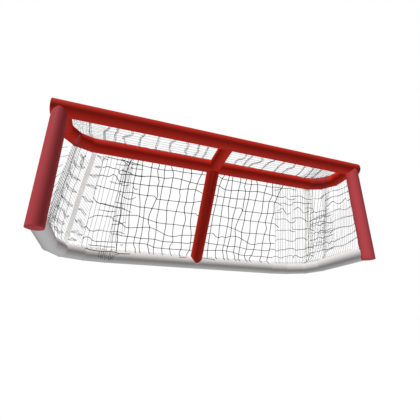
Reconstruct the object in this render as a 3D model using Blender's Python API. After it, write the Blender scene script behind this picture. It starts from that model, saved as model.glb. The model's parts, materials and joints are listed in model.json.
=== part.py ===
"""Ice hockey goal with its net: a tubular steel frame and a twine net.

Frame of the part: +X to the goal's left-right width, +Z up, the open mouth faces -Y.
The origin is under the middle of the goal, on the surface that it stands on.
Depths in the tables below are measured backwards from the axes of the two posts.
"""
import math

import bmesh
import bpy
from mathutils import Matrix, Vector

# ---------------------------------------------------------------- driving dimensions (metres)
MOUTH_W = 1.8288        # clear width between the posts, 6 ft
POST_R = 0.0419         # post tube, outer radius
TUBE_R = 0.0440         # every other tube, outer radius
WALL = 0.0030           # wall of every tube
POST_X = MOUTH_W / 2 + POST_R
BAR_Z = 0.6597          # axis height of the crossbar
BAR_END = 1.0032        # half length of the crossbar over its end caps
SHELF_Z = 0.6401        # axis height of the shelf's rear bar
SHELF_D = 0.2746        # depth of the shelf's rear bar
BASE_Z = TUBE_R         # the base tube lies on the ground
BASE_D = 0.6807         # depth of the base's rear bar
GAP = 0.0004            # clearance between neighbouring pieces
SADDLE_GAP = 0.0010     # clearance of a saddle between two tubes of the same size
SIDES = 32              # facets round a tube

# plan of the right half of each bent frame: (x, depth)
SHELF_PLAN = [(POST_X, 0.0), (0.9485, 0.1674), (0.8825, 0.2431), (0.7951, SHELF_D)]
BASE_PLAN = [(POST_X, 0.0), (POST_X, 0.4485), (0.9035, 0.5868), (0.7746, 0.6551), (0.6388, BASE_D)]

CAP_T = 0.0030          # visible thickness of a crossbar end cap
CAP_PLUG = 0.018        # depth of its plug
FOOT_T = 0.0040         # foot disc under a post
FOOT_PLUG = 0.022       # top of the foot's plug
FIT = 0.0003            # radial clearance of a plug or spigot in its tube
SPIGOT_L = 0.095        # how far a spigot reaches into its tube, from the neighbour's axis
BOLT_R = 0.0039         # shank of a frame bolt
BOLT_HEAD_R = 0.0078
BOLT_HEAD_T = 0.0026
BOLT_L = 0.012
BOLT_HOLE_R = 0.0044

ROD_R = 0.0035          # lacing rod
ROD_OUT = 0.030         # base lacing rod: outwards from the tube's axis
ROD_UP = 0.040          # and above it

NET_T = 0.0030          # thickness of the solid that stands for a net panel
NET_OFF = 0.0575        # net from the axis of a shelf tube, where it passes under or inside it
NET_BACK = 0.0580       # the same behind the rear bar, where it also clears the back stay
NET_FOOT = 0.0895       # height of the net's bottom edge
TAPE_W = 0.026
TAPE_T = 0.0016

FRONT = -BASE_D / 2     # where the post axes lie in y, so that the goal is centred on its origin


def at(x, depth, z):
    return Vector((x, FRONT + depth, z))


# ---------------------------------------------------------------- scene and materials
for old in list(bpy.data.objects):
    bpy.data.objects.remove(old, do_unlink=True)


def paint(name, colour, rough, metal):
    m = bpy.data.materials.new(name)
    m.use_nodes = True
    b = m.node_tree.nodes["Principled BSDF"]
    b.inputs["Base Color"].default_value = (*colour, 1.0)
    b.inputs["Roughness"].default_value = rough
    b.inputs["Metallic"].default_value = metal
    return m


RED = ((0.61, 0.035, 0.022), 0.42, 0.0)
ROSE = ((0.583, 0.080, 0.095), 0.45, 0.0)
WHITE = ((0.80, 0.80, 0.795), 0.45, 0.0)
ZINC = ((0.55, 0.56, 0.57), 0.35, 1.0)
TWINE = ((0.10, 0.10, 0.105), 0.85, 0.0)
WEBBING = ((0.58, 0.58, 0.57), 0.80, 0.0)


def obj_from(bm, name, look, smooth_angle=35.0):
    bmesh.ops.recalc_face_normals(bm, faces=bm.faces[:])
    me = bpy.data.meshes.new(name)
    bm.to_mesh(me)
    bm.free()
    if smooth_angle:
        me.shade_smooth()
        me.set_sharp_from_angle(angle=math.radians(smooth_angle))
    o = bpy.data.objects.new(name, me)
    o.data.materials.append(paint(name, *look))
    bpy.context.collection.objects.link(o)
    return o


# ---------------------------------------------------------------- ends of a tube
# Each cut gives, for one straight line o + t * d along the tube's wall, the t where the tube starts or ends.
def square(t):
    return lambda o, d: t


def mitre(p, normal, back):
    """Plane through p; back is how far the piece stays short of it."""
    return lambda o, d: (p - o).dot(normal) / d.dot(normal) + back


def cope(c, axis, radius, least=None):
    """Saddle against a round tube through c; the line leaves it in the direction of d."""
    def cut(o, d):
        w = (o - c) - axis * (o - c).dot(axis)
        e = d - axis * d.dot(axis)
        a, b, k = e.dot(e), w.dot(e), w.dot(w) - radius * radius
        root = b * b - a * k
        t = (-b + math.sqrt(root)) / a if root > 0 else -1.0
        return t if least is None else max(t, least)
    return cut


def reversed_cut(cut, length):
    """The same cut, made at the far end of a tube of that length."""
    return lambda o, d: length - cut(o + d * length, -d)


def basis(d):
    side = d.cross(Vector((0, 0, 1)))
    if side.length < 1e-6:
        side = Vector((1, 0, 0))
    side.normalize()
    return side, side.cross(d).normalized()


def tube(name, a, b, start, end, look, outer=TUBE_R, inner=None, sides=SIDES, turn=0.0):
    """Straight round tube from a to b; start and end are cuts measured from a along the tube."""
    inner = outer - WALL if inner is None else inner
    d = (b - a).normalized()
    u, v = basis(d)
    bm = bmesh.new()
    loops = []
    for radius in (outer, inner):
        for cut in (start, end):
            ring = []
            for i in range(sides):
                t = 2 * math.pi * i / sides + turn
                o = a + (u * math.cos(t) + v * math.sin(t)) * radius
                ring.append(bm.verts.new(o + d * cut(o, d)))
            loops.append(ring)
    o0, o1, i0, i1 = loops
    for i in range(sides):
        j = (i + 1) % sides
        bm.faces.new((o0[i], o0[j], o1[j], o1[i]))
        bm.faces.new((i0[j], i0[i], i1[i], i1[j]))
        bm.faces.new((o0[j], o0[i], i0[i], i0[j]))
        bm.faces.new((o1[i], o1[j], i1[j], i1[i]))
    return obj_from(bm, name, look)


def turned(name, profile, origin, axis, look, sides=24):
    """Solid turned from (distance along the axis, radius) points; the first and last lie on the axis."""
    axis = axis.normalized()
    u, v = basis(axis)
    bm = bmesh.new()
    verts = [bm.verts.new(Vector((r, 0.0, t))) for t, r in profile]
    for p, q in zip(verts[:-1], verts[1:]):
        bm.edges.new((p, q))
    bmesh.ops.spin(bm, geom=bm.verts[:] + bm.edges[:], cent=(0, 0, 0), axis=(0, 0, 1),
                   angle=2 * math.pi, steps=sides, use_duplicate=False)
    bmesh.ops.remove_doubles(bm, verts=bm.verts[:], dist=1e-6)
    m = Matrix((u, v, axis)).transposed().to_4x4()
    m.translation = origin
    bmesh.ops.transform(bm, matrix=m, verts=bm.verts[:])
    return obj_from(bm, name, look)


def drill(target, centre, axis, radius, depth):
    """Cuts a round hole with a Boolean; the cutter stays hidden."""
    bm = bmesh.new()
    bmesh.ops.create_cone(bm, cap_ends=True, segments=16, radius1=radius, radius2=radius, depth=depth)
    q = Vector((0, 0, 1)).rotation_difference(axis.normalized())
    bmesh.ops.transform(bm, matrix=Matrix.Translation(centre) @ q.to_matrix().to_4x4(), verts=bm.verts[:])
    me = bpy.data.meshes.new("cut_" + target.name)
    bm.to_mesh(me)
    bm.free()
    c = bpy.data.objects.new("cut_" + target.name, me)
    bpy.context.collection.objects.link(c)
    c.hide_render = True
    c.display_type = "WIRE"
    mod = target.modifiers.new("hole", "BOOLEAN")
    mod.operation = "DIFFERENCE"
    mod.solver = "EXACT"
    mod.object = c


def bolt(name, seat, axis):
    """Low round-headed bolt; seat is the middle of the face under its head, axis points out of the head."""
    return turned(name, [(-BOLT_L, 0.0), (-BOLT_L, BOLT_R * 0.8), (-BOLT_L + 0.0008, BOLT_R), (0.0, BOLT_R),
                         (0.0, BOLT_HEAD_R), (BOLT_HEAD_T * 0.5, BOLT_HEAD_R * 0.94),
                         (BOLT_HEAD_T, BOLT_HEAD_R * 0.55), (BOLT_HEAD_T, BOLT_HEAD_R * 0.3),
                         (BOLT_HEAD_T * 0.45, BOLT_HEAD_R * 0.3), (BOLT_HEAD_T * 0.45, 0.0)],
                  seat, axis, ZINC, sides=16)


def rod(name, points, look, radius=ROD_R, sides=8):
    """Round bar bent through the points, with mitred bends and flat ends."""
    bm = bmesh.new()
    rings = []
    up = None
    for k, p in enumerate(points):
        d0 = (points[k] - points[k - 1]).normalized() if k else None
        d1 = (points[k + 1] - points[k]).normalized() if k + 1 < len(points) else None
        d = d1 if d0 is None else d0
        n = (d0 + d1).normalized() if d0 is not None and d1 is not None else d
        if up is None:
            up = basis(d)[0]
        up = (up - d * up.dot(d)).normalized()
        w = d.cross(up)
        ring = []
        for i in range(sides):
            t = 2 * math.pi * (i + 0.5) / sides
            o = p + (up * math.cos(t) + w * math.sin(t)) * radius
            ring.append(bm.verts.new(o + d * ((p - o).dot(n) / d.dot(n))))
        rings.append(ring)
        if d1 is not None and d0 is not None:
            # carry the frame through the bend by mirroring it in the mitre plane
            up = (up - n * 2 * up.dot(n)) * 1.0
            up = (up - d1 * up.dot(d1)).normalized()
            if (ring[0].co - p).dot(up) < 0:
                up = -up
    for r0, r1 in zip(rings[:-1], rings[1:]):
        for i in range(sides):
            j = (i + 1) % sides
            bm.faces.new((r0[i], r0[j], r1[j], r1[i]))
    bm.faces.new(rings[0][::-1])
    bm.faces.new(rings[-1])
    return obj_from(bm, name, look)


def sheet(name, outer_side, inner_side, look):
    """Thin closed solid between two equal grids of points (rows of equal length)."""
    bm = bmesh.new()
    front = [[bm.verts.new(p) for p in row] for row in outer_side]
    back = [[bm.verts.new(p) for p in row] for row in inner_side]
    n, m = len(front), len(front[0])
    for i in range(n - 1):
        for j in range(m - 1):
            bm.faces.new((front[i][j], front[i][j + 1], front[i + 1][j + 1], front[i + 1][j]))
            bm.faces.new((back[i][j], back[i + 1][j], back[i + 1][j + 1], back[i][j + 1]))
    rim = [(0, j) for j in range(m)] + [(i, m - 1) for i in range(1, n)]
    rim += [(n - 1, j) for j in range(m - 2, -1, -1)] + [(i, 0) for i in range(n - 2, 0, -1)]
    for (i, j), (k, l) in zip(rim, rim[1:] + rim[:1]):
        bm.faces.new((front[i][j], front[k][l], back[k][l], back[i][j]))
    bmesh.ops.triangulate(bm, faces=bm.faces[:])
    return obj_from(bm, name, look, smooth_angle=0)


X = Vector((1, 0, 0))
Y = Vector((0, 1, 0))
Z = Vector((0, 0, 1))
SIDE = {"left": -1.0, "right": 1.0}


def shelf_height(depth):
    return BAR_Z + (SHELF_Z - BAR_Z) * depth / SHELF_D


# ---------------------------------------------------------------- crossbar and posts
half = BAR_END - CAP_T - GAP
tube("crossbar", at(-half, 0, BAR_Z), at(half, 0, BAR_Z), square(0), square(2 * half), RED)
for side, s in SIDE.items():
    turned("crossbar_cap_" + side,
           [(-CAP_PLUG, 0.0), (-CAP_PLUG, TUBE_R - WALL - FIT - 0.001), (-CAP_PLUG + 0.002, TUBE_R - WALL - FIT),
            (0.0, TUBE_R - WALL - FIT), (0.0, TUBE_R), (CAP_T - 0.0012, TUBE_R), (CAP_T, TUBE_R - 0.0012), (CAP_T, 0.0)],
           at(s * (BAR_END - CAP_T), 0, BAR_Z), X * s, RED, sides=SIDES)

    # post: the saddle at its top fits the underside of the crossbar
    px = s * POST_X
    foot, head = at(px, 0, 0), at(px, 0, BAR_Z)
    under_bar = reversed_cut(cope(at(0, 0, BAR_Z), X, TUBE_R + 2 * GAP), BAR_Z)
    post = tube("post_" + side, foot, head, square(FOOT_T + GAP), under_bar, ROSE, outer=POST_R)
    spigot_r = POST_R - WALL - FIT
    spigot = tube("post_spigot_" + side, foot, head, square(BAR_Z - TUBE_R - SPIGOT_L), under_bar, ZINC,
                  outer=spigot_r, sides=24)
    turned("post_foot_" + side,
           [(0.0, 0.0), (0.0, POST_R - 0.0006), (0.0006, POST_R), (FOOT_T, POST_R), (FOOT_T, spigot_r),
            (FOOT_PLUG - 0.002, spigot_r), (FOOT_PLUG, spigot_r - 0.002), (FOOT_PLUG, 0.0)],
           foot, Z, ROSE, sides=SIDES)
    # one bolt through the post's rear outer side holds the spigot
    out = Vector((s, 1, 0)).normalized()
    seat = at(px, 0, BAR_Z - TUBE_R - 0.055) + out * (POST_R + FIT)
    bolt("post_bolt_" + side, seat, out)
    for piece in (post, spigot):
        drill(piece, seat - out * 0.010, out, BOLT_HOLE_R, 0.030)


# ---------------------------------------------------------------- shelf and base frames
def path(plan, s, height):
    return [at(s * x, d, height(d)) for x, d in plan]


def joint(points, k):
    """Unit normal of the mitre plane at point k of a path."""
    return ((points[k] - points[k - 1]).normalized() + (points[k + 1] - points[k]).normalized()).normalized()


strut_dir = (at(0, SHELF_D, SHELF_Z) - at(0, 0, BAR_Z)).normalized()
stay_dir = (at(0, BASE_D, BASE_Z) - at(0, SHELF_D, SHELF_Z)).normalized()
corner = at(0, SHELF_D, SHELF_Z)
corner_normal = (strut_dir + stay_dir).normalized()
# an edge of the shelf bars lies in the mitre plane of that corner, where their ends reach furthest
corner_turn = math.atan2(corner_normal.y, -corner_normal.z)


def against_corner(o, d):
    """End of a shelf bar where it meets the bent tube made by the centre strut and the back stay."""
    q = o - corner
    q = Vector((0, q.y, q.z))
    axis = strut_dir if q.dot(corner_normal) < 0 else stay_dir
    off = q.cross(axis).length
    width = math.sqrt(max((TUBE_R + SADDLE_GAP) ** 2 - off * off, 0.0))
    return (abs(o.x) - width)


for side, s in SIDE.items():
    # shelf: side tube from the crossbar, two mitred corner pieces and half of the rear bar
    pts = path(SHELF_PLAN, s, shelf_height) + [corner.copy()]
    n = [None] + [joint(pts, k) for k in (1, 2, 3)]
    saddle_bar = cope(at(0, 0, BAR_Z), X, TUBE_R + SADDLE_GAP)
    saddle_post = cope(at(s * POST_X, 0, 0), Z, POST_R + SADDLE_GAP)

    def on_bar(o, d):
        # the lower half of the tube also has to clear the head of the post
        return max(saddle_bar(o, d), saddle_post(o, d)) if o.z < BAR_Z else saddle_bar(o, d)

    first = tube("shelf_side_" + side, pts[0], pts[1], on_bar, mitre(pts[1], n[1], -GAP / 2), RED)
    for k in (1, 2):
        tube("shelf_corner_%s_%d" % (side, k), pts[k], pts[k + 1], mitre(pts[k], n[k], GAP / 2),
             mitre(pts[k + 1], n[k + 1], -GAP / 2), RED)
    tube("shelf_bar_" + side, pts[3], pts[4], mitre(pts[3], n[3], GAP / 2), against_corner, RED,
         turn=s * corner_turn)
    spigot = tube("shelf_spigot_" + side, pts[0], pts[1], on_bar, square(SPIGOT_L), ZINC,
                  outer=TUBE_R - WALL - FIT, sides=24)
    d = (pts[1] - pts[0]).normalized()
    out = (X * s - d * (X * s).dot(d)).normalized()
    seat = pts[0] + d * 0.075 + out * (TUBE_R + FIT)
    bolt("shelf_bolt_" + side, seat, out)
    for piece in (first, spigot):
        drill(piece, seat - out * 0.010, out, BOLT_HOLE_R, 0.030)

    # base: side tube from the post, three mitred corner pieces
    pts = path(BASE_PLAN, s, lambda depth: BASE_Z) + [at(0, BASE_D, BASE_Z)]
    n = [None] + [joint(pts, k) for k in (1, 2, 3, 4)]
    on_post = cope(at(s * POST_X, 0, 0), Z, POST_R + SADDLE_GAP, least=0.012)
    first = tube("base_side_" + side, pts[0], pts[1], on_post, mitre(pts[1], n[1], -GAP / 2), WHITE)
    for k in (1, 2, 3):
        tube("base_corner_%s_%d" % (side, k), pts[k], pts[k + 1], mitre(pts[k], n[k], GAP / 2),
             mitre(pts[k + 1], n[k + 1], -GAP / 2), WHITE)
    spigot = tube("base_spigot_" + side, pts[0], pts[1], on_post, square(SPIGOT_L + 0.012), ZINC,
                  outer=TUBE_R - WALL - FIT, sides=24)
    seat = pts[0] + Y * 0.085 + X * s * (TUBE_R + FIT)
    bolt("base_bolt_" + side, seat, X * s)
    for piece in (first, spigot):
        drill(piece, seat - X * s * 0.010, X * s, BOLT_HOLE_R, 0.030)

# base rear bar, one tube from corner to corner
left, right = at(-BASE_PLAN[-1][0], BASE_D, BASE_Z), at(BASE_PLAN[-1][0], BASE_D, BASE_Z)
bend = ((right - at(BASE_PLAN[-2][0], BASE_PLAN[-2][1], BASE_Z)).normalized() - X).normalized()
bend_left = Vector((-bend.x, bend.y, bend.z))
tube("base_rear_bar", left, right, mitre(left, bend_left, GAP / 2), mitre(right, bend, -GAP / 2), WHITE)

# centre strut over the shelf and stay down to the base: mitred to each other
strut_len = (corner - at(0, 0, BAR_Z)).length
stay_len = (at(0, BASE_D, BASE_Z) - corner).length
tube("shelf_center_strut", at(0, 0, BAR_Z), corner, cope(at(0, 0, BAR_Z), X, TUBE_R + SADDLE_GAP),
     mitre(corner, corner_normal, -GAP / 2), RED)
tube("back_center_stay", corner, at(0, BASE_D, BASE_Z), mitre(corner, corner_normal, GAP / 2),
     reversed_cut(cope(at(0, BASE_D, BASE_Z), X, TUBE_R + SADDLE_GAP), stay_len), RED)


# ---------------------------------------------------------------- lacing rods
def outward(plan, k, s):
    """Horizontal mitre offset at point k of a plan, for 1 m sideways, pointing out of the goal."""
    def nrm(a, b):
        d = Vector((b[0] - a[0], b[1] - a[1]))
        d.normalize()
        return Vector((d.y, -d.x))
    ns = []
    if k > 0:
        ns.append(nrm(plan[k - 1], plan[k]))
    if k + 1 < len(plan):
        ns.append(nrm(plan[k], plan[k + 1]))
    m = sum(ns, Vector((0, 0)))
    m.normalize()
    m /= m.dot(ns[0])
    return Vector((s * m.x, m.y, 0))


foot_rod = (ROD_OUT * ROD_OUT + ROD_UP * ROD_UP) ** 0.5


def staple(name, line, inward):
    """Rod along a line of points whose two ends turn in to the tube they are fixed to."""
    a, b = line[0] + inward[0], line[-1] + inward[1]
    rod(name, [a] + line + [b], ZINC)


for side, s in SIDE.items():
    # along the crossbar's upper rear side, between the strut and the side tube
    r0 = 0.0520
    k = Vector((0, math.cos(math.radians(45)), math.sin(math.radians(45))))
    reach = (r0 - TUBE_R - FIT - ROD_R * 0.2)
    z0 = at(0, 0, BAR_Z)
    staple("crossbar_lacing_rod_" + side, [z0 + X * s * 0.060 + k * r0, z0 + X * s * 0.895 + k * r0],
           [-k * reach, -k * reach])
    # up the rear of the post
    p0 = at(s * POST_X, 0, 0)
    staple("post_lacing_rod_" + side, [p0 + Y * 0.0490 + Z * 0.105, p0 + Y * 0.0490 + Z * 0.585],
           [-Y * (0.0490 - POST_R - FIT - ROD_R * 0.2)] * 2)
    # along the upper outer side of the base tube
    full = BASE_PLAN + [(0.0, BASE_D)]

    def edge(k, along=0.0):
        x, d = full[k]
        if along:
            x2, d2 = full[k + 1]
            q = Vector((x2 - x, d2 - d))
            q.normalize()
            x, d = x + q.x * along, d + q.y * along
        return x, d

    def rod_point(k, along=0.0):
        x, d = edge(k, along)
        m = outward(full, k, s) if not along else None
        if m is None:
            x2, d2 = full[k + 1]
            q = Vector((x2 - full[k][0], d2 - full[k][1]))
            q.normalize()
            m = Vector((s * q.y, -q.x, 0))
        return at(s * x, d, BASE_Z + ROD_UP) + m * ROD_OUT, m

    reach = foot_rod - TUBE_R - FIT - ROD_R * 0.2

    def turn_in(m):
        return -(m.normalized() * ROD_OUT + Z * ROD_UP).normalized() * reach

    a, ma = rod_point(0, 0.100)
    b, mb = rod_point(0, 0.4485 - 0.030)
    staple("base_lacing_rod_side_" + side, [a, b], [turn_in(ma), turn_in(mb)])
    a, ma = rod_point(1, 0.012)
    b, mb = rod_point(3, 0.120)
    staple("base_lacing_rod_corner_" + side, [a, rod_point(2)[0], rod_point(3)[0], b],
           [turn_in(ma), turn_in(mb)])
    a, ma = rod_point(4, 0.012)
    b, mb = rod_point(4, full[4][0] - 0.060)
    staple("base_lacing_rod_rear_" + side, [a, b], [turn_in(ma), turn_in(mb)])


# ---------------------------------------------------------------- net
# The hanging net is ruled between a head line round the shelf tubes and a foot line on the base tube.
# Head line of the right half: (x, depth) on the shelf's axis and the angle at which the net leaves the
# tube: 0 behind it, 90 under it, 180 inside it. Foot line: (x, depth) on the base's axis, outward offset.
def on_segment(a, b, t):
    return (a[0] + (b[0] - a[0]) * t, a[1] + (b[1] - a[1]) * t)


SH, BA = SHELF_PLAN, BASE_PLAN
HEAD = [((0.0, SHELF_D), 0), (on_segment(SH[3], (0.0, SHELF_D), 0.20), 0), (on_segment(SH[3], (0.0, SHELF_D), 0.10), 45),
        (SH[3], 90), (SH[2], 150), (on_segment(SH[2], SH[1], 0.6), 180), (SH[1], 180), (on_segment(SH[1], SH[0], 0.6), 125)]
FOOT = [((0.0, BASE_D), ROD_OUT), (BA[4], ROD_OUT), (BA[3], ROD_OUT), (BA[2], ROD_OUT),
        (on_segment(BA[2], BA[1], 0.5), ROD_OUT), ((POST_X, 0.4300), ROD_OUT), ((POST_X, 0.3300), ROD_OUT),
        ((POST_X, 0.0600), 0.004)]


def plan_normals(points):
    """Outward unit normals of a plan polyline that runs from the middle of the back to the post."""
    out = []
    for k in range(len(points)):
        a = points[max(k - 1, 0)]
        b = points[min(k + 1, len(points) - 1)]
        d = Vector((b[0] - a[0], b[1] - a[1]))
        d.normalize()
        out.append(Vector((-d.y, d.x)))
    out[0] = Vector((0, 1))
    return out


def curtain(s):
    heads, feet = [], []
    hn = plan_normals([p for p, _ in HEAD])
    fn = plan_normals([p for p, _ in FOOT])
    for (p, deg), m in zip(HEAD, hn):
        t = math.radians(deg)
        z = shelf_height(p[1])
        base = at(s * p[0], p[1], z)
        r = NET_BACK if deg == 0 else NET_OFF
        heads.append(base + Vector((s * m.x, m.y, 0)) * r * math.cos(t) - Z * r * math.sin(t))
    for (p, off), m in zip(FOOT, fn):
        feet.append(at(s * p[0], p[1], NET_FOOT) + Vector((s * m.x, m.y, 0)) * off)
    return heads, feet


def side_curtain(s):
    """The same lines for the side panel, which leaves the seam just below the shelf and passes outside its tube."""
    heads, feet = curtain(s)
    hn = plan_normals([p for p, _ in HEAD])
    heads[5] = heads[5] + (feet[5] - heads[5]) * 0.12
    for k, deg, r in ((6, 60, NET_BACK), (7, 15, 0.0500)):
        (p, _), m, t = HEAD[k], hn[k], math.radians(deg)
        out = Vector((s * m.x, m.y, 0))
        heads[k] = at(s * p[0], p[1], shelf_height(p[1])) + out * r * math.cos(t) - Z * r * math.sin(t)
    return heads, feet


def panel(name, k0, k1, s, lines):
    """Net panel between stations k0 and k1 of the curtain, as a thin closed solid."""
    heads, feet = lines(s)

    def nrm(k, foot):
        a, b = max(k - 1, 0), min(k + 1, len(heads) - 1)
        line = (feet if foot else heads)
        along = line[b] - line[a]
        down = feet[k] - heads[k]
        n = along.cross(down) * -s
        if k == 0:
            n.x = 0
        n.normalize()
        return n

    outer, inner = [[], []], [[], []]
    for k in range(k0, k1 + 1):
        trim = 0.0
        for row, (line, foot) in enumerate(((heads, False), (feet, True))):
            p = line[k].copy()
            edge = 0.0025 if k == 5 else 0.0006
            if k == k0 and k0 > 0:
                p = p + (line[k + 1] - line[k]).normalized() * edge
            if k == k1:
                p = p + (line[k - 1] - line[k]).normalized() * edge
            n = nrm(k, foot)
            outer[row].append(p + n * NET_T / 2)
            inner[row].append(p - n * NET_T / 2)
    return outer, inner


# back panel: over the rear bar and down to the base, straight across the middle
heads, feet = curtain(1)
half_back = heads[1].x
back_profile = [(SHELF_D + 0.0012, 0.6897), (0.3080, 0.6875), (0.3270, 0.6710), (SHELF_D + NET_BACK, SHELF_Z),
                (BASE_D + ROD_OUT, NET_FOOT)]
rows_out, rows_in = [], []
for k, (d, z) in enumerate(back_profile):
    a = back_profile[max(k - 1, 0)]
    b = back_profile[min(k + 1, len(back_profile) - 1)]
    t = Vector((b[0] - a[0], b[1] - a[1]))
    t.normalize()
    n = Vector((0, -t.y, t.x))
    wide = half_back if k < 4 else feet[1].x
    rows_out.append([at(-wide + 0.0006, d, z) + n * NET_T / 2, at(wide - 0.0006, d, z) + n * NET_T / 2])
    rows_in.append([at(-wide + 0.0006, d, z) - n * NET_T / 2, at(wide - 0.0006, d, z) - n * NET_T / 2])
sheet("net_back", rows_out, rows_in, TWINE)

for side, s in SIDE.items():
    for name, k0, k1, lines in (("net_wing_", 1, 3, curtain), ("net_corner_", 3, 5, curtain), ("net_side_", 5, 7, side_curtain)):
        o, i = panel(name + side, k0, k1, s, lines)
        sheet(name + side, o, i, TWINE)
    # webbing sewn down the seam between wing and corner, on the inner side of the net
    heads, feet = curtain(s)
    h, f = heads[3], feet[3]
    down = (f - h).normalized()
    along = ((heads[4] - heads[2]).normalized() + (feet[4] - feet[2]).normalized()).normalized()
    along = (along - down * along.dot(down)).normalized()
    n = (along.cross(down) * -s).normalized()
    h, f = h + down * 0.004, f - down * 0.004
    near, far = NET_T / 2 + 0.0056, NET_T / 2 + 0.0056 + TAPE_T
    grid = [[p + along * w - n * near for w in (-TAPE_W / 2, TAPE_W / 2)] for p in (h, f)]
    grid2 = [[p + along * w - n * far for w in (-TAPE_W / 2, TAPE_W / 2)] for p in (h, f)]
    sheet("net_tape_" + side, grid, grid2, WEBBING)

# top panel: lies over the shelf tubes, from the crossbar's lacing rods to the rear bar
top_front, top_rear = (0.0430, 0.7030), (SHELF_D - 0.0004, 0.6895)
outline = [(0.950, top_front[0]), (0.9440, 0.1640), (0.8790, 0.2400), (0.7930, top_rear[0])]
outline = outline + [(-x, d) for x, d in reversed(outline)]


def top_z(depth):
    return top_front[1] + (top_rear[1] - top_front[1]) * (depth - top_front[0]) / (top_rear[0] - top_front[0])


bm = bmesh.new()
lower = [bm.verts.new(at(x, d, top_z(d) - 0.0010)) for x, d in outline]
upper = [bm.verts.new(at(x, d, top_z(d) + 0.0010)) for x, d in outline]
bm.faces.new(lower)
bm.faces.new(upper[::-1])
for i in range(len(outline)):
    j = (i + 1) % len(outline)
    bm.faces.new((lower[j], lower[i], upper[i], upper[j]))
obj_from(bm, "net_top", TWINE, smooth_angle=0)
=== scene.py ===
"""Ice hockey goal: finish of the steel frame, and the whole net strand by strand.

Everything is in metres in the frame of the part: +X to the goal's width, +Z up, the open mouth faces -Y.
Depths are measured backwards from the axes of the two posts.
"""
import json
import math
import random

import bmesh
import bpy
import numpy as np
from mathutils import Matrix, Vector, noise
from mathutils.bvhtree import BVHTree

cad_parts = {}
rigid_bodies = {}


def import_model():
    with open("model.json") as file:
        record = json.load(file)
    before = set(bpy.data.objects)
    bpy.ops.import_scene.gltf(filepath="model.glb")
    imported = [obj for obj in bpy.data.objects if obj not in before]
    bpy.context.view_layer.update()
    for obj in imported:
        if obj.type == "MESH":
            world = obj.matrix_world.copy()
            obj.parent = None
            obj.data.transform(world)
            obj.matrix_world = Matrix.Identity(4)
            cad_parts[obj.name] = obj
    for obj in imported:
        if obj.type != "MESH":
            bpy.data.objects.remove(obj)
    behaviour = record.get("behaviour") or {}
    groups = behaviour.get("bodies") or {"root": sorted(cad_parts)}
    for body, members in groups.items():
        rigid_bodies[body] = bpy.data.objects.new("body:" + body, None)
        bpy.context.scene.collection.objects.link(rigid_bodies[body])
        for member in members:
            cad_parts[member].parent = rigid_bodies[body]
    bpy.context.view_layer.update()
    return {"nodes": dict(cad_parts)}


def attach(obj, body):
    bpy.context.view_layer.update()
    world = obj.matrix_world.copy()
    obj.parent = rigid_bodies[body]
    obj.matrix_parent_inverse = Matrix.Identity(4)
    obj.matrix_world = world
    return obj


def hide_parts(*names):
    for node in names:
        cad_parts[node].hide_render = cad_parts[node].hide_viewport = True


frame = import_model()
scene = bpy.context.scene
rng = random.Random(11)

# ------------------------------------------------------------------------------------------------ camera
CAM_AT = Vector((-0.6515, -1.79738, -0.41602))
CAM_TURN = Matrix(((0.941092, -0.124145, -0.314536), (-0.338149, -0.346342, -0.875044), (-0.000305, 0.929858, -0.367919)))
LENS = 25.742583
FOCAL = LENS / 36.0 * 420.0

camera = bpy.data.objects.new("camera", bpy.data.cameras.new("camera"))
scene.collection.objects.link(camera)
camera.data.lens = LENS
camera.data.sensor_width = 36.0
camera.data.clip_start, camera.data.clip_end = 0.05, 60.0
camera.matrix_world = Matrix.Translation(CAM_AT) @ CAM_TURN.to_4x4()
scene.camera = camera


def ray(px, py):
    """Direction in which the camera sees a point of its 420 x 420 frame."""
    return (CAM_TURN @ Vector(((px - 210.0) / FOCAL, (210.0 - py) / FOCAL, -1.0))).normalized()


# ------------------------------------------------------------------------------------------------ driving dimensions
POST_R, TUBE_R, WALL = 0.0419, 0.0440, 0.0030
POST_X = 1.8288 / 2 + POST_R
BAR_Z, BAR_END = 0.6597, 1.0032
SHELF_Z, SHELF_D = 0.6401, 0.2746
BASE_Z, BASE_D = TUBE_R, 0.6807
GAP, SADDLE_GAP = 0.0004, 0.0010
FRONT = -BASE_D / 2
SH = [(POST_X, 0.0), (0.9485, 0.1674), (0.8825, 0.2431), (0.7951, SHELF_D)]
BA = [(POST_X, 0.0), (POST_X, 0.4485), (0.9035, 0.5868), (0.7746, 0.6551), (0.6388, BASE_D)]
CAP_T, FOOT_T = 0.0030, 0.0040
BOLT_HEAD_R, BOLT_HEAD_T = 0.0078, 0.0026
ROD_R, ROD_OUT, ROD_UP = 0.0035, 0.030, 0.040
NET_OFF, NET_BACK, NET_FOOT = 0.0575, 0.0580, 0.0895
X, Y, Z = Vector((1, 0, 0)), Vector((0, 1, 0)), Vector((0, 0, 1))
SIDE = {"left": -1.0, "right": 1.0}


def at(x, depth, z):
    return Vector((x, FRONT + depth, z))


def shelf_height(depth):
    return BAR_Z + (SHELF_Z - BAR_Z) * depth / SHELF_D


# ------------------------------------------------------------------------------------------------ materials
def new_material(name):
    m = bpy.data.materials.new(name)
    m.use_nodes = True
    return m, m.node_tree, m.node_tree.nodes["Principled BSDF"]


def node(tree, kind, **values):
    n = tree.nodes.new(kind)
    for key, value in values.items():
        if key in n.inputs:
            n.inputs[key].default_value = value
        else:
            setattr(n, key, value)
    return n


def two_colours(tree, factor, a, b, low=0.0, high=1.0):
    """Mix of two colours, steered by a 0 to 1 value."""
    ramp = tree.nodes.new("ShaderNodeValToRGB")
    ramp.color_ramp.elements[0].position, ramp.color_ramp.elements[1].position = low, high
    ramp.color_ramp.elements[0].color, ramp.color_ramp.elements[1].color = (*a, 1), (*b, 1)
    tree.links.new(factor, ramp.inputs["Fac"])
    return ramp.outputs["Color"]


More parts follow.
